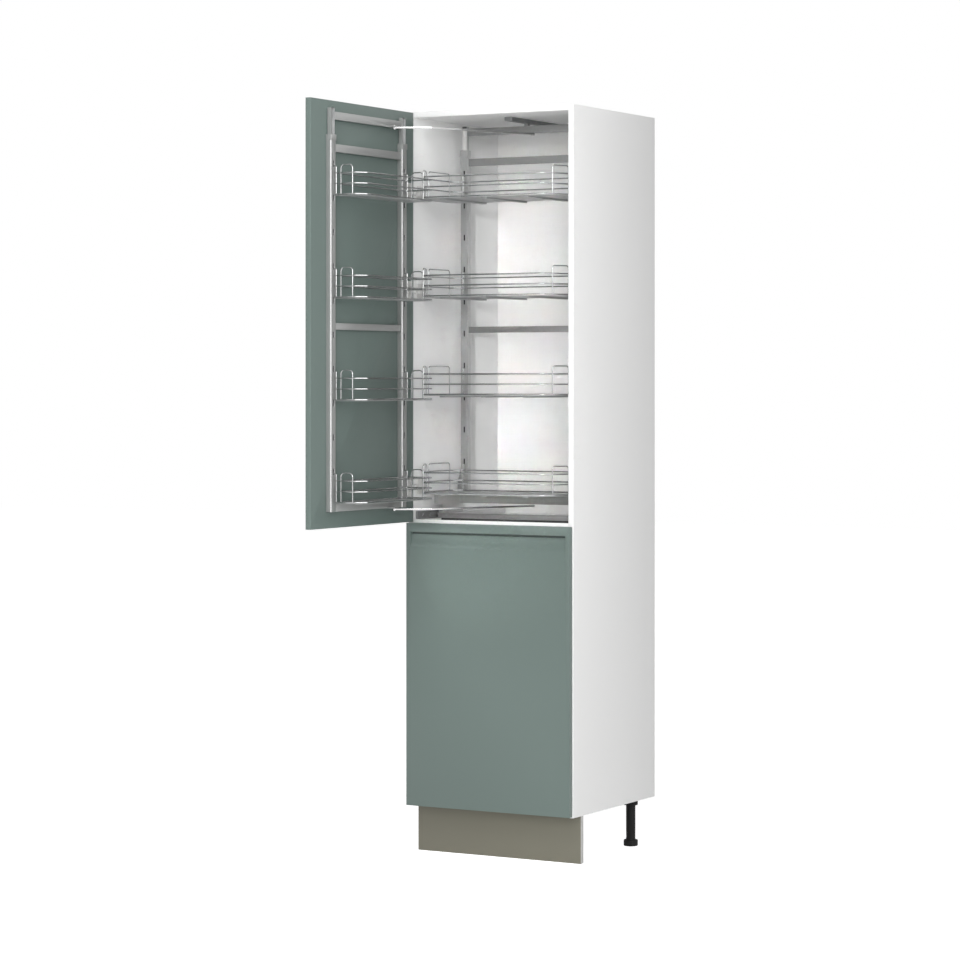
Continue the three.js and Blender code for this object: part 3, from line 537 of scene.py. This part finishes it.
# %% Soften the uprights and groove their heads
SHEET_EDGE = 0.4 * MM
HEAD_LENGTH = 120 * MM
HEAD_WALL = 2.2 * MM
HEAD_DEPTH = 8 * MM
WIDE_FACE = 500 * SQUARE_MM
FRONT_OF = {
    "door_upright_hinge_side": Vector((1, 0, 0)),
    "door_upright_free_side": Vector((1, 0, 0)),
    "inner_upright_left": Vector((0, -1, 0)),
    "inner_upright_right": Vector((0, -1, 0)),
}


def head_groove(front):
    """Returns a step that sinks a groove into the front of an upright's telescoping head."""
    def sink(bm):
        facing = [f for f in bm.faces if f.normal.dot(front) > 0.99 and f.calc_area() > WIDE_FACE]
        head = max(facing, key=lambda f: f.calc_center_median().z)
        bmesh.ops.inset_region(bm, faces=[head], thickness=HEAD_WALL, use_even_offset=True)
        bmesh.ops.translate(bm, vec=-HEAD_DEPTH * front, verts=head.verts)
        # the channel's faces take the second material: painted light on the inner heads, painted shade
        # on the door heads
        for face in {f for v in head.verts for f in v.link_faces}:
            face.material_index = 1
    return sink


for upright, front in FRONT_OF.items():
    piece = softened(upright, SHEET_EDGE, satin_steel["z"], angle=35, reshape=head_groove(front))
    head_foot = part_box(upright)[1].z - HEAD_LENGTH
    if "inner" in upright:
        # painted light in the head's channel
        piece.data.materials.append(nickel_and_painted_light)
        # the flanks of the inner uprights are painted paler: painted light
        refinished(piece, painted_light_flange, lambda at, normal: abs(normal.x) > 0.9)
    else:
        # painted shade in the head's channel
        piece.data.materials.append(rail_coat_and_groove_shade)
        # a painted highlight along the folded corner, below the head
        refinished(piece, painted_highlight_fold, lambda at, normal: (
            normal.x > 0.3 and normal.y < -0.3 and at.z < head_foot))
print("uprights softened:", len(FRONT_OF))

# %% [markdown]
# ## Crossbars, carriage and track
#
# Flat crossbars join the uprights. The inner frame stands on the carriage, whose skids slide on
# a track on the fixed shelf, and a rail under the ceiling guides its top. On the carriage, the
# flanks of the arms and the skids are painted paler, as painted light, and the gussets above the
# bar are darker, as painted shade. The track's crosspiece is coated, and behind it the sides show
# their zinc. Splitting a piece to give it two finishes would leave a seam, so its faces are
# picked instead.

# %% Soften the crossbars, the carriage and the track
THICK_EDGE = 0.8 * MM
GUSSET_HEIGHT = 88 * MM
BEHIND_CROSSPIECE = 31 * MM

for place in ("head", "upper", "middle", "foot"):
    softened(f"door_crossbar_{place}", SHEET_EDGE, satin_steel["y"])
# the inner crossbars get the darkened steel: painted shade
for place in ("head", "upper", "middle"):
    softened(f"inner_crossbar_{place}", SHEET_EDGE, shaded_steel)

carriage = softened("carriage", THICK_EDGE, satin_steel["x"])
bar_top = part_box("carriage")[1].z - GUSSET_HEIGHT
# the flanks of the arms and the skids are painted paler: painted light
refinished(carriage, zinc_and_painted_light, lambda at, normal: abs(normal.x) > 0.7 and at.z < bar_top)
# the gussets above the bar get the darkened steel: painted shade
refinished(carriage, shaded_steel, lambda at, normal: at.z > bar_top + 1 * MM)

track = softened("base_track", THICK_EDGE, track_coat)
cross_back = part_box("base_track")[0].y + BEHIND_CROSSPIECE
refinished(track, zinc_and_painted_light, lambda at, normal: at.y > cross_back)
softened("top_rail", THICK_EDGE, rail_coat_and_groove_shade)
print("the bar's top stands at", round(bar_top / MM), "mm")

# %% [markdown]
# ## Brackets, swing bars and hinges
#
# A moulded bracket stands at each side of the track. The two swing bars are flat steel with
# well rounded edges, and the concealed hinges are an arm on the carcass and a cup in the door.
# They need no more than a radius: large on the moulding, small on the stamped cups.

# %% Soften the brackets, the bars and the hinges
MOULDED_EDGE = 2.5 * MM
HINGES = {"upper": 3, "lower": 2}

for side in ("left", "right"):
    softened(f"side_bracket_{side}", MOULDED_EDGE, grey_plastic, segments=3)
for end in ("upper", "lower"):
    softened(f"swing_bar_{end}", THICK_EDGE, bar_chrome, segments=3)
for door, count in HINGES.items():
    for i in range(1, count + 1):
        softened(f"hinge_arm_{door}_{i}", THICK_EDGE, nickel_and_painted_light)
        softened(f"hinge_cup_{door}_{i}", SHEET_EDGE, nickel_and_painted_light)
print("hinges softened:", sum(HINGES.values()))

# %% [markdown]
# ## Bending wire
#
# Each shelf is a rim of three chromed wires with taller loops at its ends, and two hooks that
# drop into slots of the uprights. A wire bender makes such a rim from straight runs and turns,
# and the same steps work here: a ring of vertices is extruded along each run and spun round
# each bend. A curve with a bevel would be shorter to write, but a spin keeps the wire perfectly
# round in its bends.

# %% Write the wire bender
def frame_along(direction, normal):
    """A turn whose Z follows the wire and whose X is the normal of the plane it is bent in."""
    side = direction.cross(normal).normalized()
    return Matrix((normal, side, direction)).transposed().to_4x4()


def turns_at(corners, bend, closed):
    """For each bent corner: the way in, the way out, the angle and the length the bend takes."""
    count = len(corners)
    turns = {}
    for i in range(0 if closed else 1, count if closed else count - 1):
        arriving = (corners[i] - corners[i - 1]).normalized()
        leaving = (corners[(i + 1) % count] - corners[i]).normalized()
        angle = arriving.angle(leaving)
        turns[i] = (arriving, leaving, angle, bend * math.tan(angle / 2))
    return turns


def bend_wire(bm, corners, radius, bend, closed=False, sides=10, steps=5):
    """Bends one wire through the corners, which lie in one plane."""
    corners = [Vector(c) for c in corners]
    turns = turns_at(corners, bend, closed)
    first = (corners[1] - corners[0]).normalized()
    normal = next(t[0].cross(t[1]) for t in turns.values()).normalized()
    here = corners[0] + first * (turns[0][3] if closed else 0)
    matrix = Matrix.Translation(here) @ frame_along(first, normal)
    ring = bmesh.ops.create_circle(bm, segments=sides, radius=radius, matrix=matrix)["verts"]
    edges = list({e for v in ring for e in v.link_edges})
    made = set(ring)
    for i in list(range(1, len(corners))) + ([0] if closed else []):
        stop = corners[i]
        if i in turns:
            stop = stop - turns[i][0] * turns[i][3]
        geom = bmesh.ops.extrude_edge_only(bm, edges=edges)["geom"]
        verts = [g for g in geom if isinstance(g, bmesh.types.BMVert)]
        edges = [g for g in geom if isinstance(g, bmesh.types.BMEdge)]
        bmesh.ops.translate(bm, vec=stop - here, verts=verts)
        made.update(verts)
        here = stop
        if i in turns:
            arriving, leaving, angle, setback = turns[i]
            axis = arriving.cross(leaving).normalized()
            centre = here + axis.cross(arriving) * bend
            before = set(bm.verts)
            spun = bmesh.ops.spin(bm, geom=edges, cent=centre, axis=axis, dvec=(0, 0, 0),
                                  angle=angle, steps=steps, use_merge=False)
            edges = [g for g in spun["geom_last"] if isinstance(g, bmesh.types.BMEdge)]
            made.update(set(bm.verts) - before)
            here = corners[i] + leaving * setback
    if closed:
        bmesh.ops.remove_doubles(bm, verts=list(made), dist=radius / 50)
    else:
        ends = [e for v in made for e in v.link_edges if e.is_boundary]
        bmesh.ops.holes_fill(bm, edges=list(set(ends)), sides=sides)


square = [Vector(c) for c in ((0, 0, 0), (1, 0, 0), (1, 1, 0), (0, 1, 0))]
print("turns in a closed square of wire:", len(turns_at(square, 0.1, closed=True)))

# %% [markdown]
# ## The two kinds of shelf
#
# The rims follow the trays' outlines. A tray's outline comes from its CAD box and the cuts at
# its corners. The door's shelves have one cut corner, towards the door's free edge. The inner
# shelves have two large cuts at the front, which let them swing past the door's shelves, and two
# small ones at the back. Both kinds are made by the same steps, so a table holds all that
# differs: the outline, where the loops and the hooks stand, the bends and the tray's ribs.

# %% Lay out the door's shelves and the inner ones
def door_outline(low, high):
    """The open door's shelf: its back is towards the door, its cut corner at the free end."""
    cut_x, cut_y = 23.5 * MM, 30 * MM
    return [(low.x, high.y), (low.x, low.y), (high.x - cut_x, low.y),
            (high.x, low.y + cut_y), (high.x, high.y)]


def door_loops(low, high):
    near, far = low.x + 21 * MM, low.x + 63 * MM
    return [[(near, y), (far, y)] for y in (low.y, high.y)]


def door_hooks(low, high):
    foot, tip = low.x + 4 * MM, low.x - 9 * MM
    return [[(foot, y), (tip, y)] for y in (low.y, high.y)]


def mirrored(points):
    return [(-x, y) for x, y in points]


def inner_outline(low, high):
    cut_x, cut_y, back = 46 * MM, 85 * MM, 30 * MM
    right = [(high.x - cut_x, low.y), (high.x, low.y + cut_y), (high.x, high.y - back),
             (high.x - back, high.y)]
    return right + mirrored(reversed(right))


def between(first, second, share):
    return tuple(a + (b - a) * share for a, b in zip(first, second))


def inner_loops(low, high):
    """One loop across each large cut, and one along each side."""
    outline = inner_outline(low, high)
    corner = [between(outline[0], outline[1], 0.45), (high.x, low.y + 97 * MM)]
    side = [(high.x, low.y + depth * MM) for depth in (112, 243)]
    return [corner, side, mirrored(corner), mirrored(side)]


def inner_hooks(low, high):
    foot, tip = high.y - MM, high.y + 9.6 * MM
    return [[(x, foot), (x, tip)] for x in (-230 * MM, 230 * MM)]


SHELF_FORMS = {
    "door": {
        "outline": door_outline, "loops": door_loops, "hooks": door_hooks,
        "rim_bend": 7 * MM, "loop_bend": 12 * MM, "ribs": (),
    },
    "inner": {
        "outline": inner_outline, "loops": inner_loops, "hooks": inner_hooks,
        "rim_bend": 26 * MM, "loop_bend": 9 * MM, "ribs": (-151 * MM, 0, 151 * MM),
    },
}
SHELVES = [(f"{kind}_shelf_{i}", kind) for kind in SHELF_FORMS for i in range(1, 5)]
print("shelves to make:", [name for name, kind in SHELVES])

# %% [markdown]
# ## The wire rims
#
# The three wires of a rim stand above the tray at an even pitch. The loops rise above them and
# keep tall packets in as the shelf swings, and the hooks are bent from the same thin wire. On the
# real shelf the wires are welded together, so they are one piece here too.

# %% Bend the rims of all eight shelves
WIRE = 2.3 * MM
LOOP_WIRE = 1.9 * MM
WIRE_PITCH = 32.5 * MM
LOW_WIRE_ABOVE_TRAY = 2.5 * MM
LOOP_ABOVE_TOP_WIRE = 24.6 * MM
HOOK_ABOVE_TOP_WIRE = 20.7 * MM
HOOK_BEND = 4 * MM


def shelf_rim(name, form):
    low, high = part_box(f"{name}_tray")
    low_wire = high.z + LOW_WIRE_ABOVE_TRAY
    top_wire = low_wire + 2 * WIRE_PITCH
    bm = bmesh.new()
    for level in range(3):
        z = low_wire + level * WIRE_PITCH
        corners = [(x, y, z) for x, y in form["outline"](low, high)]
        bend_wire(bm, corners, WIRE, form["rim_bend"], closed=True, steps=8)
    loop_top = top_wire + LOOP_ABOVE_TOP_WIRE
    for a, b in form["loops"](low, high):
        corners = [(*a, low_wire), (*a, loop_top), (*b, loop_top), (*b, low_wire)]
        bend_wire(bm, corners, LOOP_WIRE, form["loop_bend"])
    hook_top = top_wire + HOOK_ABOVE_TOP_WIRE
    for foot, tip in form["hooks"](low, high):
        corners = [(*foot, low_wire), (*foot, hook_top), (*tip, hook_top)]
        bend_wire(bm, corners, LOOP_WIRE, HOOK_BEND)
    bmesh.ops.recalc_face_normals(bm, faces=bm.faces)
    node = f"{name}_rim"
    piece = finished_piece(f"{node}_wires", bm, chrome_wire, body_of_node[node],
                           smooth=60)
    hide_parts(node)


for name, kind in SHELVES:
    shelf_rim(name, SHELF_FORMS[kind])
print("rims bent:", len(SHELVES))

# %% [markdown]
# ## The trays
#
# Inside each rim lies a sheet-metal tray with a low turned-up lip. It starts as one face with
# the tray's outline. Insetting the face draws the lip's inner line, and pushing the middle down
# makes the lip stand up. Solidify then gives the sheet its thickness. The inner trays are wide,
# so three ribs stiffen them from below. A rib is a cube stretched to size with all its edges
# rounded, and the small parts further on are made in the same way.

# %% Press the trays
TRAY_SHEET = 1.2 * MM
TRAY_DEPTH = 2 * MM
LIP_WIDTH = 3 * MM
RIB_HALF_WIDTH = 10 * MM
RIB_DEPTH = 5 * MM
RIB_FRONT = 15 * MM
OVERLAP = 0.2 * MM


def rounded_block(bm, low, high, radius, segments=3):
    """A block between two corners with all its edges rounded."""
    made = bmesh.ops.create_cube(bm, size=1)["verts"]
    size = Vector(high) - Vector(low)
    bmesh.ops.scale(bm, vec=size, verts=made)
    bmesh.ops.translate(bm, vec=(Vector(low) + Vector(high)) / 2, verts=made)
    round_edges(bm, list({e for v in made for e in v.link_edges}), radius, segments)


def tray(name, form):
    node = f"{name}_tray"
    low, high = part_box(node)
    bm = bmesh.new()
    rim = [bm.verts.new((x, y, high.z)) for x, y in form["outline"](low, high)]
    face = bmesh.ops.contextual_create(bm, geom=rim)["faces"][0]
    bmesh.ops.inset_region(bm, faces=[face], thickness=LIP_WIDTH, use_even_offset=True)
    bmesh.ops.translate(bm, vec=(0, 0, TRAY_SHEET - TRAY_DEPTH), verts=face.verts)
    bmesh.ops.recalc_face_normals(bm, faces=bm.faces)
    if face.normal.z < 0:
        bmesh.ops.reverse_faces(bm, faces=bm.faces)
    bmesh.ops.solidify(bm, geom=bm.faces, thickness=TRAY_SHEET)
    bmesh.ops.recalc_face_normals(bm, faces=bm.faces)
    round_edges(bm, sharp_edges(bm), 0.4 * MM)
    under = high.z - TRAY_DEPTH
    for x in form["ribs"]:
        rounded_block(bm, (x - RIB_HALF_WIDTH, low.y + RIB_FRONT, under - RIB_DEPTH),
                      (x + RIB_HALF_WIDTH, high.y, under + OVERLAP), 1.2 * MM)
    piece = finished_piece(f"{node}_sheet", bm, tray_lacquer, body_of_node[node])
    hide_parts(node)


for name, kind in SHELVES:
    tray(name, SHELF_FORMS[kind])
print("trays pressed:", len(SHELVES))

# %% [markdown]
# ## The levelling legs
#
# A leg is a plastic column in a socket, with a wide foot that screws up and down, and a few
# turns of its thread show above the foot. All of it is round, so half of its outline is drawn
# once and spun about the leg's axis.

# %% Spin the legs
FOOT_RADIUS = 23.3 * MM
COLUMN_RADIUS = 15.3 * MM
FOOT_TOP = 20 * MM
THREAD_START = 24 * MM
THREAD_STEP = 2 * MM
THREAD_DEPTH = 0.5 * MM
SOCKET_HEIGHT = 18 * MM


def leg_outline(height):
    """Half of a leg's section, as pairs of a radius and a height."""
    foot, column = FOOT_RADIUS, COLUMN_RADIUS
    socket = height - SOCKET_HEIGHT
    base = [(0, 0), (foot - 2 * MM, 0), (foot, 2 * MM), (foot, FOOT_TOP - 2 * MM),
            (foot - 1.5 * MM, FOOT_TOP), (column + 0.5 * MM, FOOT_TOP + 0.5 * MM),
            (column, FOOT_TOP + 1.5 * MM)]
    thread = [(column - (THREAD_DEPTH if i % 2 else 0), THREAD_START + i * THREAD_STEP)
              for i in range(12)]
    top = [(column, THREAD_START + 12 * THREAD_STEP), (column, socket),
           (foot - 1 * MM, socket + 1 * MM), (foot, socket + 2 * MM), (foot, height), (0, height)]
    return base + thread + top


def leg(node):
    low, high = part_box(node)
    centre = (low + high) / 2
    bm = bmesh.new()
    points = [bm.verts.new((centre.x + radius, centre.y, low.z + z))
              for radius, z in leg_outline(high.z - low.z)]
    edges = [bm.edges.new(pair) for pair in zip(points, points[1:])]
    bmesh.ops.spin(bm, geom=edges, cent=(centre.x, centre.y, 0), axis=(0, 0, 1),
                   dvec=(0, 0, 0), angle=math.tau, steps=40, use_merge=True)
    bmesh.ops.remove_doubles(bm, verts=bm.verts, dist=0.01 * MM)
    bmesh.ops.recalc_face_normals(bm, faces=bm.faces)
    piece = finished_piece(f"{node}_turned", bm, black_plastic, body_of_node[node],
                           smooth=35)
    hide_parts(node)


LEG_CORNERS = ("front_left", "front_right", "rear_left", "rear_right")
for corner in LEG_CORNERS:
    leg(f"leg_{corner}")
print("legs spun:", len(LEG_CORNERS))

# %% [markdown]
# ## Shade liners and caps
#
# Seen through its slots an upright is dark, because hardly any light gets into the folded strip.
# Here the lamps could still light what lies behind a slot, so a thin black strip of painted shade
# stands a few millimetres behind each slotted front and keeps the slots dark. A grey cap closes
# the head of each inner upright.

# %% Line the uprights and cap them
LINER_BEHIND = 6 * MM
LINER_THICKNESS = 1 * MM
LINER_HALF_WIDTH = 11.5 * MM
CAP_HALF_WIDTH = 7.5 * MM


def block_piece(name, node, low, high, radius, finish, segments=3):
    """A rounded block that rides with a CAD node."""
    bm = bmesh.new()
    rounded_block(bm, low, high, radius, segments)
    finished_piece(name, bm, finish, body_of_node[node])


# a black strip behind the slots, which is painted shade
def slot_shade_liner(upright, front):
    low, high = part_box(upright)
    across = Vector((abs(front.y), abs(front.x), 0))
    inside = (low + high) / 2 + front * (abs((high - low).dot(front)) / 2 - 1 * MM)
    near = inside - front * LINER_BEHIND
    back = near - front * LINER_THICKNESS
    corners = [spot + across * side * LINER_HALF_WIDTH for spot in (back, near) for side in (-1, 1)]
    bottom = [min(c[axis] for c in corners) for axis in (0, 1)]
    top = [max(c[axis] for c in corners) for axis in (0, 1)]
    block_piece(f"{upright}_liner", upright, (*bottom, low.z + 2 * MM),
                (*top, high.z - HEAD_LENGTH), 0.3 * MM, black_plastic, segments=1)


def head_cap(upright):
    low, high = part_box(upright)
    centre, half = (low + high) / 2, CAP_HALF_WIDTH
    block_piece(f"{upright}_cap", upright, (centre.x - half, centre.y - half, high.z - 5 * MM),
                (centre.x + half, centre.y + half, high.z + 0.6 * MM), 0.8 * MM,
                dark_plastic)


for upright, front in FRONT_OF.items():
    slot_shade_liner(upright, front)
for upright in ("inner_upright_left", "inner_upright_right"):
    head_cap(upright)
print("liners and caps added:", len(FRONT_OF) + 2)

# %% [markdown]
# ## Screws
#
# Three zinc screws hold each side bracket. A head starts as a disc, whose rim is extruded and
# bevelled, and its drive is the top face inset and sunk. Modelling it costs few faces, and the
# bevel and the hole catch the light as no bump could.

# %% Drive the bracket screws
SCREW_RADIUS = 4.2 * MM
SCREW_STAND = 1.2 * MM
DRIVE_DEPTH = 0.8 * MM
SCREW_PLACES = (0.22, 0.55, 0.88)    # shares of the bracket's length


def screw_head(bm, centre, direction, radius):
    """A round screw head on a face, with a sunk drive."""
    turn = direction.to_track_quat("Z", "Y").to_matrix().to_4x4()
    place = Matrix.Translation(centre) @ turn
    ring = bmesh.ops.create_circle(bm, cap_ends=True, segments=20, radius=radius, matrix=place)
    cap = next(iter({f for v in ring["verts"] for f in v.link_faces}))
    geom = bmesh.ops.extrude_face_region(bm, geom=[cap])["geom"]
    verts = [g for g in geom if isinstance(g, bmesh.types.BMVert)]
    bmesh.ops.translate(bm, vec=direction * SCREW_STAND, verts=verts)
    cap = next(g for g in geom if isinstance(g, bmesh.types.BMFace))
    round_edges(bm, list(cap.edges), 0.5 * MM)
    offset = {f: f.calc_center_median() - centre for f in bm.faces}
    own = [f for f in bm.faces if offset[f].length < radius]
    cap = max(own, key=lambda f: offset[f].dot(direction))
    bmesh.ops.inset_region(bm, faces=[cap], thickness=radius * 0.4)
    bmesh.ops.translate(bm, vec=-DRIVE_DEPTH * direction, verts=cap.verts)


def bracket_screws(side, inward):
    node = f"side_bracket_{side}"
    low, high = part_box(node)
    face = high.x if inward.x > 0 else low.x
    bm = bmesh.new()
    for share in SCREW_PLACES:
        y = low.y + (high.y - low.y) * share
        screw_head(bm, Vector((face, y, (low.z + high.z) / 2)), inward, SCREW_RADIUS)
    bmesh.ops.recalc_face_normals(bm, faces=bm.faces)
    finished_piece(f"{node}_screws", bm, zinc, body_of_node[node])


bracket_screws("left", Vector((1, 0, 0)))
bracket_screws("right", Vector((-1, 0, 0)))
print("screws driven:", 2 * len(SCREW_PLACES))

# %% [markdown]
# ## The dark strip and the edging
#
# A dark strip lies along the front edge of the fixed shelf. The plinth's cut end is
# closed by a strip of pale edging, less than a millimetre thick. Both are blocks sunk slightly
# into the boards that carry them, so that no gap shows.

# %% Lay the dark strip and glue the edging
STRIP_LEFT = -180 * MM
STRIP_HEIGHT = 6.5 * MM
EDGING_THICKNESS = 0.8 * MM

low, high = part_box("divider_shelf")
# a dark strip along the front edge of the fixed shelf
block_piece("divider_dark_strip", "divider_shelf", (STRIP_LEFT, low.y + 2 * MM, high.z - 0.2 * MM),
            (high.x - 0.2 * MM, low.y + 10 * MM, high.z + STRIP_HEIGHT), 1 * MM,
            dark_front_strip, segments=2)
low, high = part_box("plinth")
block_piece("plinth_edging", "plinth", (high.x - 0.4 * MM, low.y + 0.2 * MM, low.z + 0.5 * MM),
            (high.x + EDGING_THICKNESS, high.y - 0.2 * MM, high.z - 0.2 * MM), 0.3 * MM,
            pale_edging, segments=2)
print("seal and edging laid")

# %% [markdown]
# ## Floor and backdrop
#
# The photograph is a cut-out on white. A pale floor gives the cabinet something to stand on and
# keeps its shadow, and the world is white. Both are at full strength only for rays that show the
# background, which come straight from the camera or off metal or glass. For all other rays the
# world is dim and the floor doesn't glow, so the white background puts no extra light on the
# cabinet.

# %% Lay the floor and hang the backdrop
FLOOR_GLOW = 0.80
WORLD_LIGHT = 0.22
WORLD_SEEN = 1.0


def background_shows(wiring):
    """1 for rays that show the background: straight from the camera, or off metal or glass."""
    shows = wiring.node("ShaderNodeLightPath", output="Is Camera Ray")
    for ray in ("Is Glossy Ray", "Is Transmission Ray"):
        other = wiring.node("ShaderNodeLightPath", output=ray)
        shows = wiring.node("ShaderNodeMath", {"operation": "MAXIMUM"}, {0: shows, 1: other})
    return shows


def floor_finish():
    finish = Finish("pale_floor", Roughness=1.0, Specular_IOR_Level=0.0, Base_Color=(0.9, 0.9, 0.9, 1))
    strength = background_shows(finish) * FLOOR_GLOW
    glow = finish.node("ShaderNodeEmission", {}, {"Strength": strength})
    paint = Grade(finish, finish.shader.outputs[0])
    both = finish.node("ShaderNodeAddShader", {}, {0: paint, 1: glow})
    finish.feed(finish.tree.nodes["Material Output"].inputs["Surface"], both)
    return finish.material


bm = bmesh.new()
bmesh.ops.create_grid(bm, x_segments=1, y_segments=1, size=20)
mesh = bpy.data.meshes.new("floor")
bm.to_mesh(mesh)
bm.free()
mesh.materials.append(floor_finish())
floor = bpy.data.objects.new("floor", mesh)
bpy.context.scene.collection.objects.link(floor)
floor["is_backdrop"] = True

world = bpy.data.worlds.new("studio")
bpy.context.scene.world = world
world.use_nodes = True
backdrop = Wiring(world.node_tree)
background = world.node_tree.nodes["Background"]
backdrop.feed(background.inputs["Color"], (1, 1, 1, 1))
strength = background_shows(backdrop) * (WORLD_SEEN - WORLD_LIGHT) + WORLD_LIGHT
backdrop.feed(background.inputs["Strength"], strength)
print("floor laid, world light:", WORLD_LIGHT)

# %% [markdown]
# ## The lamps
#
# A product is photographed among soft lamps, and six of them light the cabinet. The main one and
# the top one stand in front, the side one lights the right-hand side, and a narrow fill reaches
# the back wall through the opening. Bare metal needs something bright to mirror, so the softbox
# serves paint and metal, and the shine serves metal alone. The others are kept out of the
# reflections, where they would be square white spots. Angles are in degrees, towards the
# cabinet's right and up.

# %% Hang the lamps
def lamp(name, azimuth, elevation, distance, size, power, in_metal=True, in_paint=True,
         spread=180, height=1.2, across=0.0):
    """A lamp that faces the cabinet at a height. `in_metal` shows it in reflections, and
    `in_paint` lets it light matt surfaces."""
    light = bpy.data.lights.new(name, "AREA")
    light.shape = "RECTANGLE"
    light.size, light.size_y = size
    light.energy = power
    light.spread = math.radians(spread)
    target = Vector((across, 0.2, height))
    turn, lift = math.radians(azimuth), math.radians(elevation)
    level = Vector((math.sin(turn), -math.cos(turn), 0)) * math.cos(lift)
    away = level + Vector((0, 0, math.sin(lift)))
    stand = bpy.data.objects.new(name, light)
    stand.location = target + away * distance
    stand.rotation_euler = away.to_track_quat("Z", "Y").to_euler()
    stand.visible_glossy = in_metal
    stand.visible_diffuse = in_paint
    bpy.context.scene.collection.objects.link(stand)


lamp("main", 22, 12, distance=9.0, size=(5.0, 5.0), power=385, in_metal=False)
lamp("top", 12, 44, distance=8.0, size=(3.0, 3.0), power=200, in_metal=False)
lamp("softbox", 68, 5, distance=8.0, size=(5.0, 2.6), power=82)
lamp("shine", 50, 24, distance=8.0, size=(8.5, 4.2), power=540, in_paint=False)
lamp("side", 104, 8, distance=8.0, size=(2.0, 2.0), power=50, in_metal=False)
lamp("fill", 24, 3, distance=9.0, size=(0.12, 1.45), power=1.0, in_metal=False,
     spread=4, height=1.62, across=-0.12)
bpy.context.scene.view_settings.view_transform = "Standard"
print("lamps hung:", len(bpy.data.lights))

# %% [markdown]
# ## The size
#
# The box of the finished pieces is measured and printed, in metres.

# %% Print the size
low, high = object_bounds()
print("visual box in metres:", [round(v, 4) for v in high - low])
